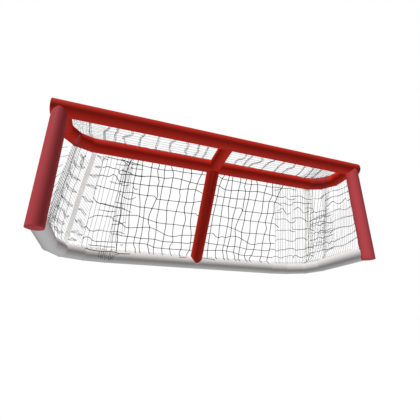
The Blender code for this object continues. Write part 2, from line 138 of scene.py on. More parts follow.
def to_range(tree, value, low, high):
    n = node(tree, "ShaderNodeMapRange")
    n.inputs["To Min"].default_value, n.inputs["To Max"].default_value = low, high
    tree.links.new(value, n.inputs["Value"])
    return n.outputs["Result"]


def enamel(name, colour, deeper, rough, specular):
    """Sprayed enamel on steel tube: a little cloudy in tone, fine orange peel, duller where it was handled."""
    m, t, b = new_material(name)
    where = node(t, "ShaderNodeTexCoord").outputs["Object"]
    cloud = node(t, "ShaderNodeTexNoise", Scale=2.6, Detail=4.0, Roughness=0.55)
    fine = node(t, "ShaderNodeTexNoise", Scale=140.0, Detail=2.0, Roughness=0.5)
    rub = node(t, "ShaderNodeTexNoise", Scale=17.0, Detail=5.0, Roughness=0.62)
    peel = node(t, "ShaderNodeTexNoise", Scale=620.0, Detail=1.0, Roughness=0.4)
    for n in (cloud, fine, rub, peel):
        t.links.new(where, n.inputs["Vector"])
    both = node(t, "ShaderNodeMath", operation="MULTIPLY_ADD")
    t.links.new(fine.outputs["Fac"], both.inputs[0])
    both.inputs[1].default_value = 0.22
    t.links.new(cloud.outputs["Fac"], both.inputs[2])
    t.links.new(two_colours(t, both.outputs[0], deeper, colour, 0.42, 0.66), b.inputs["Base Color"])
    t.links.new(to_range(t, rub.outputs["Fac"], rough - 0.07, rough + 0.11), b.inputs["Roughness"])
    bump = node(t, "ShaderNodeBump", Strength=0.10, Distance=0.00035)
    t.links.new(peel.outputs["Fac"], bump.inputs["Height"])
    t.links.new(bump.outputs["Normal"], b.inputs["Normal"])
    b.inputs["Specular IOR Level"].default_value = specular
    return m


def plated(name):
    """Zinc plate: cool grey with a faint spangle and slightly brushed."""
    m, t, b = new_material(name)
    where = node(t, "ShaderNodeTexCoord").outputs["Object"]
    spangle = node(t, "ShaderNodeTexVoronoi", Scale=260.0)
    cloud = node(t, "ShaderNodeTexNoise", Scale=45.0, Detail=4.0, Roughness=0.6)
    t.links.new(where, spangle.inputs["Vector"])
    t.links.new(where, cloud.inputs["Vector"])
    t.links.new(two_colours(t, spangle.outputs["Distance"], (0.60, 0.61, 0.62), (0.47, 0.48, 0.50)), b.inputs["Base Color"])
    t.links.new(to_range(t, cloud.outputs["Fac"], 0.26, 0.50), b.inputs["Roughness"])
    bump = node(t, "ShaderNodeBump", Strength=0.15, Distance=0.0002)
    t.links.new(cloud.outputs["Fac"], bump.inputs["Height"])
    t.links.new(bump.outputs["Normal"], b.inputs["Normal"])
    b.inputs["Metallic"].default_value = 1.0
    return m


def braid(name, colour, light, rough=0.86):
    """Braided twine: two sets of strands laid across each other round the cord, with a slightly hairy surface."""
    m, t, b = new_material(name)
    uv = node(t, "ShaderNodeUVMap", uv_map="along").outputs["UV"]
    part = node(t, "ShaderNodeSeparateXYZ")
    t.links.new(uv, part.inputs[0])
    waves = []
    for sign in (1.0, -1.0):
        slope = node(t, "ShaderNodeMath", operation="MULTIPLY_ADD")
        t.links.new(part.outputs["X"], slope.inputs[0])
        slope.inputs[1].default_value = sign * 3.0
        run = node(t, "ShaderNodeMath", operation="MULTIPLY")
        t.links.new(part.outputs["Y"], run.inputs[0])
        run.inputs[1].default_value = 190.0
        t.links.new(run.outputs[0], slope.inputs[2])
        turn = node(t, "ShaderNodeMath", operation="MULTIPLY")
        t.links.new(slope.outputs[0], turn.inputs[0])
        turn.inputs[1].default_value = 2 * math.pi
        sine = node(t, "ShaderNodeMath", operation="SINE")
        t.links.new(turn.outputs[0], sine.inputs[0])
        waves.append(sine.outputs[0])
    over = node(t, "ShaderNodeMath", operation="MAXIMUM")
    t.links.new(waves[0], over.inputs[0])
    t.links.new(waves[1], over.inputs[1])
    where = node(t, "ShaderNodeTexCoord").outputs["Object"]
    hair = node(t, "ShaderNodeTexNoise", Scale=900.0, Detail=3.0, Roughness=0.6)
    worn = node(t, "ShaderNodeTexNoise", Scale=9.0, Detail=4.0, Roughness=0.6)
    t.links.new(where, hair.inputs["Vector"])
    t.links.new(where, worn.inputs["Vector"])
    tone = node(t, "ShaderNodeMath", operation="MULTIPLY_ADD")
    t.links.new(over.outputs[0], tone.inputs[0])
    tone.inputs[1].default_value = 0.22
    t.links.new(worn.outputs["Fac"], tone.inputs[2])
    t.links.new(two_colours(t, tone.outputs[0], colour, light, 0.25, 0.95), b.inputs["Base Color"])
    t.links.new(to_range(t, hair.outputs["Fac"], rough - 0.08, rough + 0.08), b.inputs["Roughness"])
    height = node(t, "ShaderNodeMath", operation="MULTIPLY_ADD")
    t.links.new(hair.outputs["Fac"], height.inputs[0])
    height.inputs[1].default_value = 0.35
    t.links.new(over.outputs[0], height.inputs[2])
    bump = node(t, "ShaderNodeBump", Strength=0.55, Distance=0.0004)
    t.links.new(height.outputs[0], bump.inputs["Height"])
    t.links.new(bump.outputs["Normal"], b.inputs["Normal"])
    b.inputs["Specular IOR Level"].default_value = 0.2
    b.inputs["Sheen Weight"].default_value = 0.08
    return m


def woven(name, colour, light):
    """Flat woven webbing: ribs along the strap, fine picks across it."""
    m, t, b = new_material(name)
    uv = node(t, "ShaderNodeUVMap", uv_map="along").outputs["UV"]
    part = node(t, "ShaderNodeSeparateXYZ")
    t.links.new(uv, part.inputs[0])
    sines = []
    for output, pitch in (("X", 0.0022), ("Y", 0.0026)):
        turn = node(t, "ShaderNodeMath", operation="MULTIPLY")
        t.links.new(part.outputs[output], turn.inputs[0])
        turn.inputs[1].default_value = 2 * math.pi / pitch
        sine = node(t, "ShaderNodeMath", operation="SINE")
        t.links.new(turn.outputs[0], sine.inputs[0])
        sines.append(sine.outputs[0])
    weave = node(t, "ShaderNodeMath", operation="MULTIPLY")
    t.links.new(sines[0], weave.inputs[0])
    t.links.new(sines[1], weave.inputs[1])
    where = node(t, "ShaderNodeTexCoord").outputs["Object"]
    worn = node(t, "ShaderNodeTexNoise", Scale=14.0, Detail=4.0, Roughness=0.6)
    t.links.new(where, worn.inputs["Vector"])
    tone = node(t, "ShaderNodeMath", operation="MULTIPLY_ADD")
    t.links.new(weave.outputs[0], tone.inputs[0])
    tone.inputs[1].default_value = 0.18
    t.links.new(worn.outputs["Fac"], tone.inputs[2])
    t.links.new(two_colours(t, tone.outputs[0], colour, light, 0.2, 0.8), b.inputs["Base Color"])
    t.links.new(to_range(t, worn.outputs["Fac"], 0.72, 0.9), b.inputs["Roughness"])
    bump = node(t, "ShaderNodeBump", Strength=0.6, Distance=0.0004)
    t.links.new(weave.outputs[0], bump.inputs["Height"])
    t.links.new(bump.outputs["Normal"], b.inputs["Normal"])
    b.inputs["Specular IOR Level"].default_value = 0.25
    b.inputs["Sheen Weight"].default_value = 0.1
    return m


RED = enamel("red_enamel", (0.632, 0.0315, 0.0190), (0.597, 0.0290, 0.0170), 0.50, 0.03)
ROSE = enamel("rose_enamel", (0.598, 0.080, 0.094), (0.565, 0.072, 0.085), 0.50, 0.06)
WHITE = enamel("white_enamel", (0.815, 0.817, 0.815), (0.775, 0.777, 0.772), 0.48, 0.10)
ZINC = plated("zinc_plate")
TWINE = braid("dark_twine", (0.045, 0.046, 0.050), (0.085, 0.086, 0.090))
MID_TWINE = braid("grey_twine", (0.10, 0.10, 0.105), (0.17, 0.17, 0.175))
PALE_TWINE = braid("pale_twine", (0.26, 0.26, 0.265), (0.38, 0.38, 0.385))
WEBBING = woven("grey_webbing", (0.60, 0.60, 0.595), (0.74, 0.74, 0.73))


# ------------------------------------------------------------------------------------------------ steel frame
def add(bm, name, look, replaces=(), smooth_angle=35.0):
    bmesh.ops.recalc_face_normals(bm, faces=bm.faces[:])
    me = bpy.data.meshes.new(name)
    bm.to_mesh(me)
    bm.free()
    me.shade_smooth()
    if smooth_angle:
        me.set_sharp_from_angle(angle=math.radians(smooth_angle))
    o = bpy.data.objects.new(name, me)
    me.materials.append(look)
    scene.collection.objects.link(o)
    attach(o, "root")
    if replaces:
        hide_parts(*replaces)
    return o


def square(t):
    return lambda o, d: t


def mitre(p, normal, back):
    return lambda o, d: (p - o).dot(normal) / d.dot(normal) + back


def cope(c, axis, radius, least=None):
    """Saddle against a round tube through c."""
    def cut(o, d):
        w = (o - c) - axis * (o - c).dot(axis)
        e = d - axis * d.dot(axis)
        a, b, k = e.dot(e), w.dot(e), w.dot(w) - radius * radius
        root = b * b - a * k
        t = (-b + math.sqrt(root)) / a if root > 0 else -1.0
        return t if least is None else max(t, least)
    return cut


def reversed_cut(cut, length):
    return lambda o, d: length - cut(o + d * length, -d)


def basis(d):
    side = d.cross(Vector((0, 0, 1)))
    if side.length < 1e-6:
        side = Vector((1, 0, 0))
    side.normalize()
    return side, side.cross(d).normalized()


def tube(name, a, b, start, end, look, outer=TUBE_R, sides=72, turn=0.0):
    """Round steel tube with its real wall, cut to its neighbours, with a slightly broken edge at each cut."""
    d = (b - a).normalized()
    u, v = basis(d)
    bm = bmesh.new()
    loops = []
    soft = 0.0004
    for radius, inset in ((outer - WALL, 0.0), (outer - soft, 0.0), (outer, soft)):
        for cut, sign in ((start, 1), (end, -1)):
            ring = []
            for i in range(sides):
                t = 2 * math.pi * i / sides + turn
                o = a + (u * math.cos(t) + v * math.sin(t)) * radius
                ring.append(bm.verts.new(o + d * (cut(o, d) + sign * inset)))
            loops.append(ring)
    i0, i1, e0, e1, o0, o1 = loops
    for i in range(sides):
        j = (i + 1) % sides
        bm.faces.new((o0[i], o0[j], o1[j], o1[i]))
        bm.faces.new((i0[j], i0[i], i1[i], i1[j]))
        bm.faces.new((e0[j], e0[i], i0[i], i0[j]))
        bm.faces.new((e1[i], e1[j], i1[j], i1[i]))
        bm.faces.new((o0[j], o0[i], e0[i], e0[j]))
        bm.faces.new((o1[i], o1[j], e1[j], e1[i]))
    return add(bm, name, look, ())


def turned(name, profile, origin, axis, look, sides=72, hexagon=()):
    """Solid turned from (distance along the axis, radius) points; points named in hexagon are six-sided."""
    axis = axis.normalized()
    u, v = basis(axis)
    bm = bmesh.new()
    rings = []
    for k, (t, r) in enumerate(profile):
        if r < 1e-9:
            rings.append([bm.verts.new(origin + axis * t)])
            continue
        ring = []
        for i in range(sides):
            q = 2 * math.pi * i / sides
            rr = r
            if k in hexagon:
                rr = r * math.cos(math.pi / 6) / math.cos((q % (math.pi / 3)) - math.pi / 6)
            ring.append(bm.verts.new(origin + axis * t + (u * math.cos(q) + v * math.sin(q)) * rr))
        rings.append(ring)
    for r0, r1 in zip(rings[:-1], rings[1:]):
        for i in range(sides):
            j = (i + 1) % sides
            if len(r0) == 1:
                bm.faces.new((r0[0], r1[j], r1[i]))
            elif len(r1) == 1:
                bm.faces.new((r0[i], r0[j], r1[0]))
            else:
                bm.faces.new((r0[i], r0[j], r1[j], r1[i]))
    return add(bm, name, look)


def bolt(name, seat, axis):
    """Button-head bolt with a hexagon socket, on a thin washer."""
    turned(name, [(-0.011, 0.0), (-0.011, 0.0034), (-0.0102, 0.0039), (-0.0001, 0.0039), (-0.0001, BOLT_HEAD_R + 0.0006),
                  (0.0006, BOLT_HEAD_R + 0.0006), (0.0007, BOLT_HEAD_R + 0.0002), (0.0007, BOLT_HEAD_R - 0.0008),
                  (0.0014, BOLT_HEAD_R - 0.0009), (BOLT_HEAD_T - 0.0002, BOLT_HEAD_R * 0.62),
                  (BOLT_HEAD_T, BOLT_HEAD_R * 0.48), (BOLT_HEAD_T - 0.0001, 0.0030), (0.0010, 0.0028), (0.0010, 0.0)],
           seat, axis, ZINC, sides=36, hexagon=(11, 12))


def stands_for(name):
    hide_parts(name)


# welded seams: low rippled beads under the same paint
class Beads:
    def __init__(self, name, look):
        self.bm, self.name, self.look = bmesh.new(), name, look

    def ring(self, points, normals, width=0.0034, height=0.0012):
        n, m = len(points), 8
        rows = []
        length = 0.0
        for i in range(n):
            p, q, r = points[i - 1], points[i], points[(i + 1) % n]
            along = (r - p).normalized()
            out = (normals[i] - along * normals[i].dot(along)).normalized()
            across = along.cross(out)
            ripple = 1.0 + 0.13 * math.sin(length / 0.0052 * 2 * math.pi)
            length += (r - q).length
            rows.append([self.bm.verts.new(q + across * math.cos(2 * math.pi * j / m) * width * (0.94 + 0.06 * ripple)
                                           + out * math.sin(2 * math.pi * j / m) * height * ripple) for j in range(m)])
        for i in range(n):
            a, b = rows[i], rows[(i + 1) % n]
            for j in range(m):
                k = (j + 1) % m
                self.bm.faces.new((a[j], a[k], b[k], b[j]))

    def build(self):
        return add(self.bm, self.name, self.look, smooth_angle=0)


red_welds, white_welds = Beads("weld_beads_red", RED), Beads("weld_beads_white", WHITE)


def mitre_weld(beads, p, d0, d1, n=220, radius=TUBE_R):
    """Bead round the mitre between two tubes that meet in p, with directions d0 in and d1 out."""
    plane = (d0 + d1).normalized()
    u, v = basis(d0)
    points, normals = [], []
    for i in range(n):
        t = 2 * math.pi * i / n
        out = u * math.cos(t) + v * math.sin(t)
        o = p + out * radius
        q = o + d0 * ((p - o).dot(plane) / d0.dot(plane))
        w = q - p
        out1 = (w - d1 * w.dot(d1)).normalized()
        points.append(q)
        normals.append((out + out1).normalized())
    beads.ring(points, normals)


def saddle_weld(beads, a, d, cut, other, n=260, radius=TUBE_R, turn=0.0):
    """Bead where the tube from a along d ends on another tube; other gives that tube's outward normal at a point."""
    u, v = basis(d)
    points, normals = [], []
    for i in range(n):
        t = 2 * math.pi * i / n + turn
        out = u * math.cos(t) + v * math.sin(t)
        o = a + out * radius
        q = o + d * cut(o, d)
        points.append(q)
        normals.append((out + other(q)).normalized())
    beads.ring(points, normals, width=0.0036, height=0.0016)


def radial(c, axis):
    return lambda q: ((q - c) - axis * (q - c).dot(axis)).normalized()


half = BAR_END - CAP_T - GAP
tube("crossbar_finish", at(-half, 0, BAR_Z), at(half, 0, BAR_Z), square(0), square(2 * half), RED)
stands_for("crossbar")
strut_dir = (at(0, SHELF_D, SHELF_Z) - at(0, 0, BAR_Z)).normalized()
stay_dir = (at(0, BASE_D, BASE_Z) - at(0, SHELF_D, SHELF_Z)).normalized()
corner = at(0, SHELF_D, SHELF_Z)
corner_normal = (strut_dir + stay_dir).normalized()
corner_turn = math.atan2(corner_normal.y, -corner_normal.z)


def against_corner(o, d):
    q = o - corner
    q = Vector((0, q.y, q.z))
    axis = strut_dir if q.dot(corner_normal) < 0 else stay_dir
    off = q.cross(axis).length
    return abs(o.x) - math.sqrt(max((TUBE_R + SADDLE_GAP) ** 2 - off * off, 0.0))


def corner_out(q):
    w = q - corner
    axis = strut_dir if w.dot(corner_normal) < 0 else stay_dir
    return (w - axis * w.dot(axis)).normalized()


for side, s in SIDE.items():
    turned("crossbar_cap_%s_finish" % side,
           [(-0.018, 0.0), (-0.018, TUBE_R - WALL - 0.0013), (-0.016, TUBE_R - WALL - 0.0003), (0.0, TUBE_R - WALL - 0.0003),
            (0.0, TUBE_R - 0.0003), (0.0003, TUBE_R), (CAP_T - 0.0014, TUBE_R), (CAP_T - 0.0007, TUBE_R - 0.0004),
            (CAP_T - 0.0001, TUBE_R - 0.0014), (CAP_T, TUBE_R - 0.0030), (CAP_T, 0.0)],
           at(s * (BAR_END - CAP_T), 0, BAR_Z), X * s, RED)
    stands_for("crossbar_cap_" + side)

    px = s * POST_X
    foot, head = at(px, 0, 0), at(px, 0, BAR_Z)
    under_bar = reversed_cut(cope(at(0, 0, BAR_Z), X, TUBE_R + 2 * GAP), BAR_Z)
    tube("post_%s_finish" % side, foot, head, square(FOOT_T + GAP), under_bar, ROSE, outer=POST_R)
    stands_for("post_" + side)
    inner = POST_R - WALL - 0.0003
    turned("post_foot_%s_finish" % side,
           [(0.0, 0.0), (0.0, POST_R - 0.0014), (0.0004, POST_R - 0.0004), (0.0014, POST_R), (FOOT_T - 0.0003, POST_R),
            (FOOT_T, POST_R - 0.0003), (FOOT_T, inner), (0.020, inner), (0.022, inner - 0.002), (0.022, 0.0)],
           foot, Z, ROSE)
    stands_for("post_foot_" + side)
    out = Vector((s, 1, 0)).normalized()
    bolt("post_bolt_%s_finish" % side, at(px, 0, BAR_Z - TUBE_R - 0.055) + out * (POST_R + 0.0003), out)
    stands_for("post_bolt_" + side)

    # shelf
    pts = [at(s * x, d, shelf_height(d)) for x, d in SH] + [corner.copy()]
    dirs = [(b - a).normalized() for a, b in zip(pts[:-1], pts[1:])]
    n = [None] + [(dirs[k - 1] + dirs[k]).normalized() for k in (1, 2, 3)]
    saddle_bar = cope(at(0, 0, BAR_Z), X, TUBE_R + SADDLE_GAP)
    saddle_post = cope(at(s * POST_X, 0, 0), Z, POST_R + SADDLE_GAP)

    def on_bar(o, d, saddle_bar=saddle_bar, saddle_post=saddle_post):
        return max(saddle_bar(o, d), saddle_post(o, d)) if o.z < BAR_Z else saddle_bar(o, d)

    tube("shelf_side_%s_finish" % side, pts[0], pts[1], on_bar, mitre(pts[1], n[1], -GAP / 2), RED)
    stands_for("shelf_side_" + side)
    for k in (1, 2):
        tube("shelf_corner_%s_%d_finish" % (side, k), pts[k], pts[k + 1], mitre(pts[k], n[k], GAP / 2),
             mitre(pts[k + 1], n[k + 1], -GAP / 2), RED)
        stands_for("shelf_corner_%s_%d" % (side, k))
    tube("shelf_bar_%s_finish" % side, pts[3], pts[4], mitre(pts[3], n[3], GAP / 2), against_corner, RED,
         turn=s * corner_turn)
    stands_for("shelf_bar_" + side)
    for k in (1, 2, 3):
        mitre_weld(red_welds, pts[k], dirs[k - 1], dirs[k])
    saddle_weld(red_welds, pts[3], dirs[3], against_corner, corner_out)
    d = dirs[0]
    out = (X * s - d * (X * s).dot(d)).normalized()
    bolt("shelf_bolt_%s_finish" % side, pts[0] + d * 0.075 + out * (TUBE_R + 0.0003), out)
    stands_for("shelf_bolt_" + side)

    # base
    pts = [at(s * x, d, BASE_Z) for x, d in BA] + [at(0, BASE_D, BASE_Z)]
    dirs = [(b - a).normalized() for a, b in zip(pts[:-1], pts[1:])]
    n = [None] + [(dirs[k - 1] + dirs[k]).normalized() for k in (1, 2, 3, 4)]
    on_post = cope(at(s * POST_X, 0, 0), Z, POST_R + SADDLE_GAP, least=0.012)
    tube("base_side_%s_finish" % side, pts[0], pts[1], on_post, mitre(pts[1], n[1], -GAP / 2), WHITE)
    stands_for("base_side_" + side)
    for k in (1, 2, 3):
        tube("base_corner_%s_%d_finish" % (side, k), pts[k], pts[k + 1], mitre(pts[k], n[k], GAP / 2),
             mitre(pts[k + 1], n[k + 1], -GAP / 2), WHITE)
        stands_for("base_corner_%s_%d" % (side, k))
    for k in (1, 2, 3, 4):
        mitre_weld(white_welds, pts[k], dirs[k - 1], dirs[k])
    bolt("base_bolt_%s_finish" % side, pts[0] + Y * 0.085 + X * s * (TUBE_R + 0.0003), X * s)
    stands_for("base_bolt_" + side)

left, right = at(-BA[-1][0], BASE_D, BASE_Z), at(BA[-1][0], BASE_D, BASE_Z)
bend = ((right - at(BA[-2][0], BA[-2][1], BASE_Z)).normalized() - X).normalized()
tube("base_rear_bar_finish", left, right, mitre(left, Vector((-bend.x, bend.y, bend.z)), GAP / 2),
     mitre(right, bend, -GAP / 2), WHITE)
stands_for("base_rear_bar")
stay_len = (at(0, BASE_D, BASE_Z) - corner).length
on_crossbar = cope(at(0, 0, BAR_Z), X, TUBE_R + SADDLE_GAP)
on_base = reversed_cut(cope(at(0, BASE_D, BASE_Z), X, TUBE_R + SADDLE_GAP), stay_len)
tube("shelf_center_strut_finish", at(0, 0, BAR_Z), corner, on_crossbar, mitre(corner, corner_normal, -GAP / 2), RED)
stands_for("shelf_center_strut")
tube("back_center_stay_finish", corner, at(0, BASE_D, BASE_Z), mitre(corner, corner_normal, GAP / 2), on_base, RED)
stands_for("back_center_stay")
mitre_weld(red_welds, corner, strut_dir, stay_dir)
saddle_weld(red_welds, at(0, 0, BAR_Z), strut_dir, on_crossbar, radial(at(0, 0, BAR_Z), X))
saddle_weld(white_welds, corner, stay_dir, on_base, radial(at(0, BASE_D, BASE_Z), X))
red_welds.build()
white_welds.build()

# spigots inside the joints keep the frame's own shape
for name, o in frame["nodes"].items():
    if "spigot" in name:
        o.data.materials.clear()
        o.data.materials.append(ZINC)


# ------------------------------------------------------------------------------------------------ lacing rods
def rounded(points, radius, steps=5):
    """The points with every bend turned into an arc."""
    out = [points[0]]
    for a, p, b in zip(points[:-2], points[1:-1], points[2:]):
        u, v = (a - p), (b - p)
        r = min(radius, u.length * 0.45, v.length * 0.45)
        q0, q1 = p + u.normalized() * r, p + v.normalized() * r
        for i in range(steps + 1):
            t = i / steps
            out.append(q0 * (1 - t) ** 2 + p * 2 * t * (1 - t) + q1 * t * t)
    out.append(points[-1])
    return out


def frames(points):
    """Tangent and two cross directions at each point, carried along without twisting."""
    P = np.array(points, float)
    T = np.gradient(P, axis=0)
    T /= np.maximum(np.linalg.norm(T, axis=1), 1e-12)[:, None]
    up = np.array((0.0, 0.0, 1.0)) if abs(T[0, 2]) < 0.9 else np.array((0.0, 1.0, 0.0))
    U = np.zeros_like(P)
    for i in range(len(P)):
        up = up - T[i] * (up @ T[i])
        up = up / np.linalg.norm(up)
        U[i] = up
    return P, T, U, np.cross(T, U)


class Yarn:
    """Collects round strands and knots in one mesh."""

    def __init__(self):
        self.v, self.f, self.uv, self.n = [], [], [], 0

    def strand(self, points, radius, sides=6, closed=False, squash=1.0):
        P, T, U, W = frames(points)
        if closed:
            T = np.roll(P, -1, 0) - np.roll(P, 1, 0)
            T /= np.linalg.norm(T, axis=1)[:, None]
            U = U - T * (U * T).sum(1)[:, None]
            U /= np.linalg.norm(U, axis=1)[:, None]
            W = np.cross(T, U)
        m = len(P)
        a = 2 * np.pi * np.arange(sides) / sides
        R = np.full(m, radius) if np.isscalar(radius) else np.asarray(radius)
        ring = P[:, None, :] + (U[:, None, :] * np.cos(a)[None, :, None] * squash
                                + W[:, None, :] * np.sin(a)[None, :, None]) * R[:, None, None]
        base = self.n
        self.v.append(ring.reshape(-1, 3))
        self.n += m * sides
        step = np.linalg.norm(np.diff(P, axis=0, append=P[:1]), axis=1)
        run = np.concatenate(([0.0], np.cumsum(step)))
        last = m if closed else m - 1
        for i in range(last):
            k = (i + 1) % m
            for j in range(sides):
                l = (j + 1) % sides
                self.f.append((base + i * sides + j, base + i * sides + l, base + k * sides + l, base + k * sides + j))
                self.uv += [(j / sides, run[i]), ((j + 1) / sides, run[i]), ((j + 1) / sides, run[i + 1]), (j / sides, run[i + 1])]
        if not closed:
            self.f.append(tuple(base + j for j in range(sides))[::-1])
            self.uv += [(0.5, run[0])] * sides
            self.f.append(tuple(base + (m - 1) * sides + j for j in range(sides)))
            self.uv += [(0.5, run[m - 1])] * sides
        return self

    def knot(self, p, along, size, stretch=1.35, flat=0.9, across=6, up=4):
        """Small tight knot: a blob drawn out a little along the twine."""
        p, along = np.array(p, float), np.array(along, float)
        along = along / max(np.linalg.norm(along), 1e-9)
        u = np.cross(along, (0.31, 0.52, 0.79))
        u /= np.linalg.norm(u)
        w = np.cross(along, u)
        base = self.n
        verts = [p - along * size * stretch]
        for i in range(1, up):
            t = math.pi * i / up
            for j in range(across):
                q = 2 * math.pi * (j + 0.5 * (i % 2)) / across
                verts.append(p - along * math.cos(t) * size * stretch
                             + (u * math.cos(q) + w * math.sin(q) * flat) * math.sin(t) * size)
        verts.append(p + along * size * stretch)
        self.v.append(np.array(verts))
        self.n += len(verts)
        last = base + len(verts) - 1
        for j in range(across):
            l = (j + 1) % across
            self.f.append((base, base + 1 + l, base + 1 + j))
            self.uv += [(0.5, 0.0), (l / across, 0.002), (j / across, 0.002)]
            for i in range(up - 2):
                a = base + 1 + i * across
                self.f.append((a + j, a + l, a + across + l, a + across + j))
                self.uv += [(j / across, 0.002 * i), ((j + 1) / across, 0.002 * i),
                            ((j + 1) / across, 0.002 * i + 0.002), (j / across, 0.002 * i + 0.002)]
            a = base + 1 + (up - 2) * across
            self.f.append((a + j, a + l, last))
            self.uv += [(j / across, 0.0), ((j + 1) / across, 0.0), (0.5, 0.002)]
        return self

    def build(self, name, look, slot, replaces=()):
        me = bpy.data.meshes.new(name)
        me.from_pydata(np.concatenate(self.v).tolist(), [], self.f)
        layer = me.uv_layers.new(name="along")
        layer.data.foreach_set("uv", np.array(self.uv, np.float32).ravel())
        me.validate()
        bm = bmesh.new()
        bm.from_mesh(me)
        bmesh.ops.recalc_face_normals(bm, faces=bm.faces[:])
        bm.to_mesh(me)
        bm.free()
        me.shade_smooth()
        me.materials.append(look)
        o = bpy.data.objects.new(name, me)
        scene.collection.objects.link(o)
        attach(o, "root")
        if replaces:
            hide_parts(*replaces)
        return o


def staple(name, line, inward):
    """Bent rod whose two ends turn in to the tube and are welded to it."""
    points = rounded([line[0] + inward[0]] + line + [line[-1] + inward[1]], 0.009)
    y = Yarn()
    y.strand(points, ROD_R, sides=14)
    for end, inner in ((points[0], points[1]), (points[-1], points[-2])):
        d = (end - inner).normalized()
        y.strand([end - d * 0.0030, end - d * 0.0012, end + d * 0.0002, end + d * 0.0009],
                 [ROD_R * 1.02, ROD_R * 1.25, ROD_R * 1.6, ROD_R * 1.75], sides=14)
    y.build(name + "_finish", ZINC, "zinc_steel", (name,))


def outward(plan, k, s):
    def nrm(a, b):
        d = Vector((b[0] - a[0], b[1] - a[1]))
        d.normalize()
        return Vector((d.y, -d.x))
    ns = []
    if k > 0:
        ns.append(nrm(plan[k - 1], plan[k]))
    if k + 1 < len(plan):
        ns.append(nrm(plan[k], plan[k + 1]))
    m = sum(ns, Vector((0, 0)))
    m.normalize()
    m /= m.dot(ns[0])
    return Vector((s * m.x, m.y, 0))


foot_rod = math.hypot(ROD_OUT, ROD_UP)
full = BA + [(0.0, BASE_D)]
for side, s in SIDE.items():
    k = Vector((0, math.cos(math.radians(45)), math.sin(math.radians(45))))
    reach = 0.0520 - TUBE_R - 0.0003 - ROD_R * 0.2
    z0 = at(0, 0, BAR_Z)
    staple("crossbar_lacing_rod_" + side, [z0 + X * s * 0.060 + k * 0.0520, z0 + X * s * 0.895 + k * 0.0520],
           [-k * reach, -k * reach])
    p0 = at(s * POST_X, 0, 0)
    staple("post_lacing_rod_" + side, [p0 + Y * 0.0490 + Z * 0.105, p0 + Y * 0.0490 + Z * 0.585],
           [-Y * (0.0490 - POST_R - 0.0003 - ROD_R * 0.2)] * 2)

    def rod_point(k, along=0.0, s=s):
        x, d = full[k]
        if not along:
            m = outward(full, k, s)
            return at(s * x, d, BASE_Z + ROD_UP) + m * ROD_OUT, m
        x2, d2 = full[k + 1]
        q = Vector((x2 - x, d2 - d))
        q.normalize()
        m = Vector((s * q.y, -q.x, 0))
        return at(s * (x + q.x * along), d + q.y * along, BASE_Z + ROD_UP) + m * ROD_OUT, m

    reach = foot_rod - TUBE_R - 0.0003 - ROD_R * 0.2

    def turn_in(m, reach=reach):
        return -(m.normalized() * ROD_OUT + Z * ROD_UP).normalized() * reach

    (a, ma), (b, mb) = rod_point(0, 0.100), rod_point(0, 0.4485 - 0.030)
    staple("base_lacing_rod_side_" + side, [a, b], [turn_in(ma), turn_in(mb)])
    (a, ma), (b, mb) = rod_point(1, 0.012), rod_point(3, 0.120)
    staple("base_lacing_rod_corner_" + side, [a, rod_point(2)[0], rod_point(3)[0], b], [turn_in(ma), turn_in(mb)])
    (a, ma), (b, mb) = rod_point(4, 0.012), rod_point(4, full[4][0] - 0.060)
    staple("base_lacing_rod_rear_" + side, [a, b], [turn_in(ma), turn_in(mb)])


# ------------------------------------------------------------------------------------------------ shape of the net
def on_segment(a, b, t):
    return (a[0] + (b[0] - a[0]) * t, a[1] + (b[1] - a[1]) * t)


# stations round one half: where the net hangs from the shelf (point, angle round the tube: 0 behind, 90 under,
# 180 inside it) and where it reaches the base tube
HEAD = [((0.0, SHELF_D), 0), (on_segment(SH[3], (0.0, SHELF_D), 0.20), 0), (on_segment(SH[3], (0.0, SHELF_D), 0.10), 45),
        (SH[3], 90), (SH[2], 150), (on_segment(SH[2], SH[1], 0.6), 180), (SH[1], 180), (on_segment(SH[1], SH[0], 0.6), 125)]
FOOT = [((0.0, BASE_D), ROD_OUT), (BA[4], ROD_OUT), (BA[3], ROD_OUT), (BA[2], ROD_OUT),
        (on_segment(BA[2], BA[1], 0.5), ROD_OUT), ((POST_X, 0.4300), ROD_OUT), ((POST_X, 0.3300), ROD_OUT),
        ((POST_X, 0.0600), 0.004)]
BACK, P3, TAPE, SEAM, POST = 1, 2, 3, 5, 7


def plan_normals(points):
    out = []
    for k in range(len(points)):
        a, b = points[max(k - 1, 0)], points[min(k + 1, len(points) - 1)]
        d = Vector((b[0] - a[0], b[1] - a[1]))
        d.normalize()
        out.append(Vector((-d.y, d.x)))
    out[0] = Vector((0, 1))
    return out


HEAD_N = plan_normals([p for p, _ in HEAD])
FOOT_N = plan_normals([p for p, _ in FOOT])


def between(values, k):
    i = min(max(int(k), 0), len(values) - 2)
    t = min(max(k - i, 0.0), 1.0)
    return values[i] * (1 - t) + values[i + 1] * t


H_X, H_D = [p[0] for p, _ in HEAD], [p[1] for p, _ in HEAD]
F_X, F_D, F_OFF = [p[0] for p, _ in FOOT], [p[1] for p, _ in FOOT], [o for _, o in FOOT]
H_DEG = [float(d) for _, d in HEAD]
HEAD_P, FOOT_P = [], []
for (p, deg), m in zip(HEAD, HEAD_N):
    t, r = math.radians(deg), NET_BACK if deg == 0 else NET_OFF
    HEAD_P.append(at(p[0], p[1], shelf_height(p[1])) + Vector((m.x, m.y, 0)) * r * math.cos(t) - Z * r * math.sin(t))
for (p, off), m in zip(FOOT, FOOT_N):
    FOOT_P.append(at(p[0], p[1], NET_FOOT) + Vector((m.x, m.y, 0)) * off)
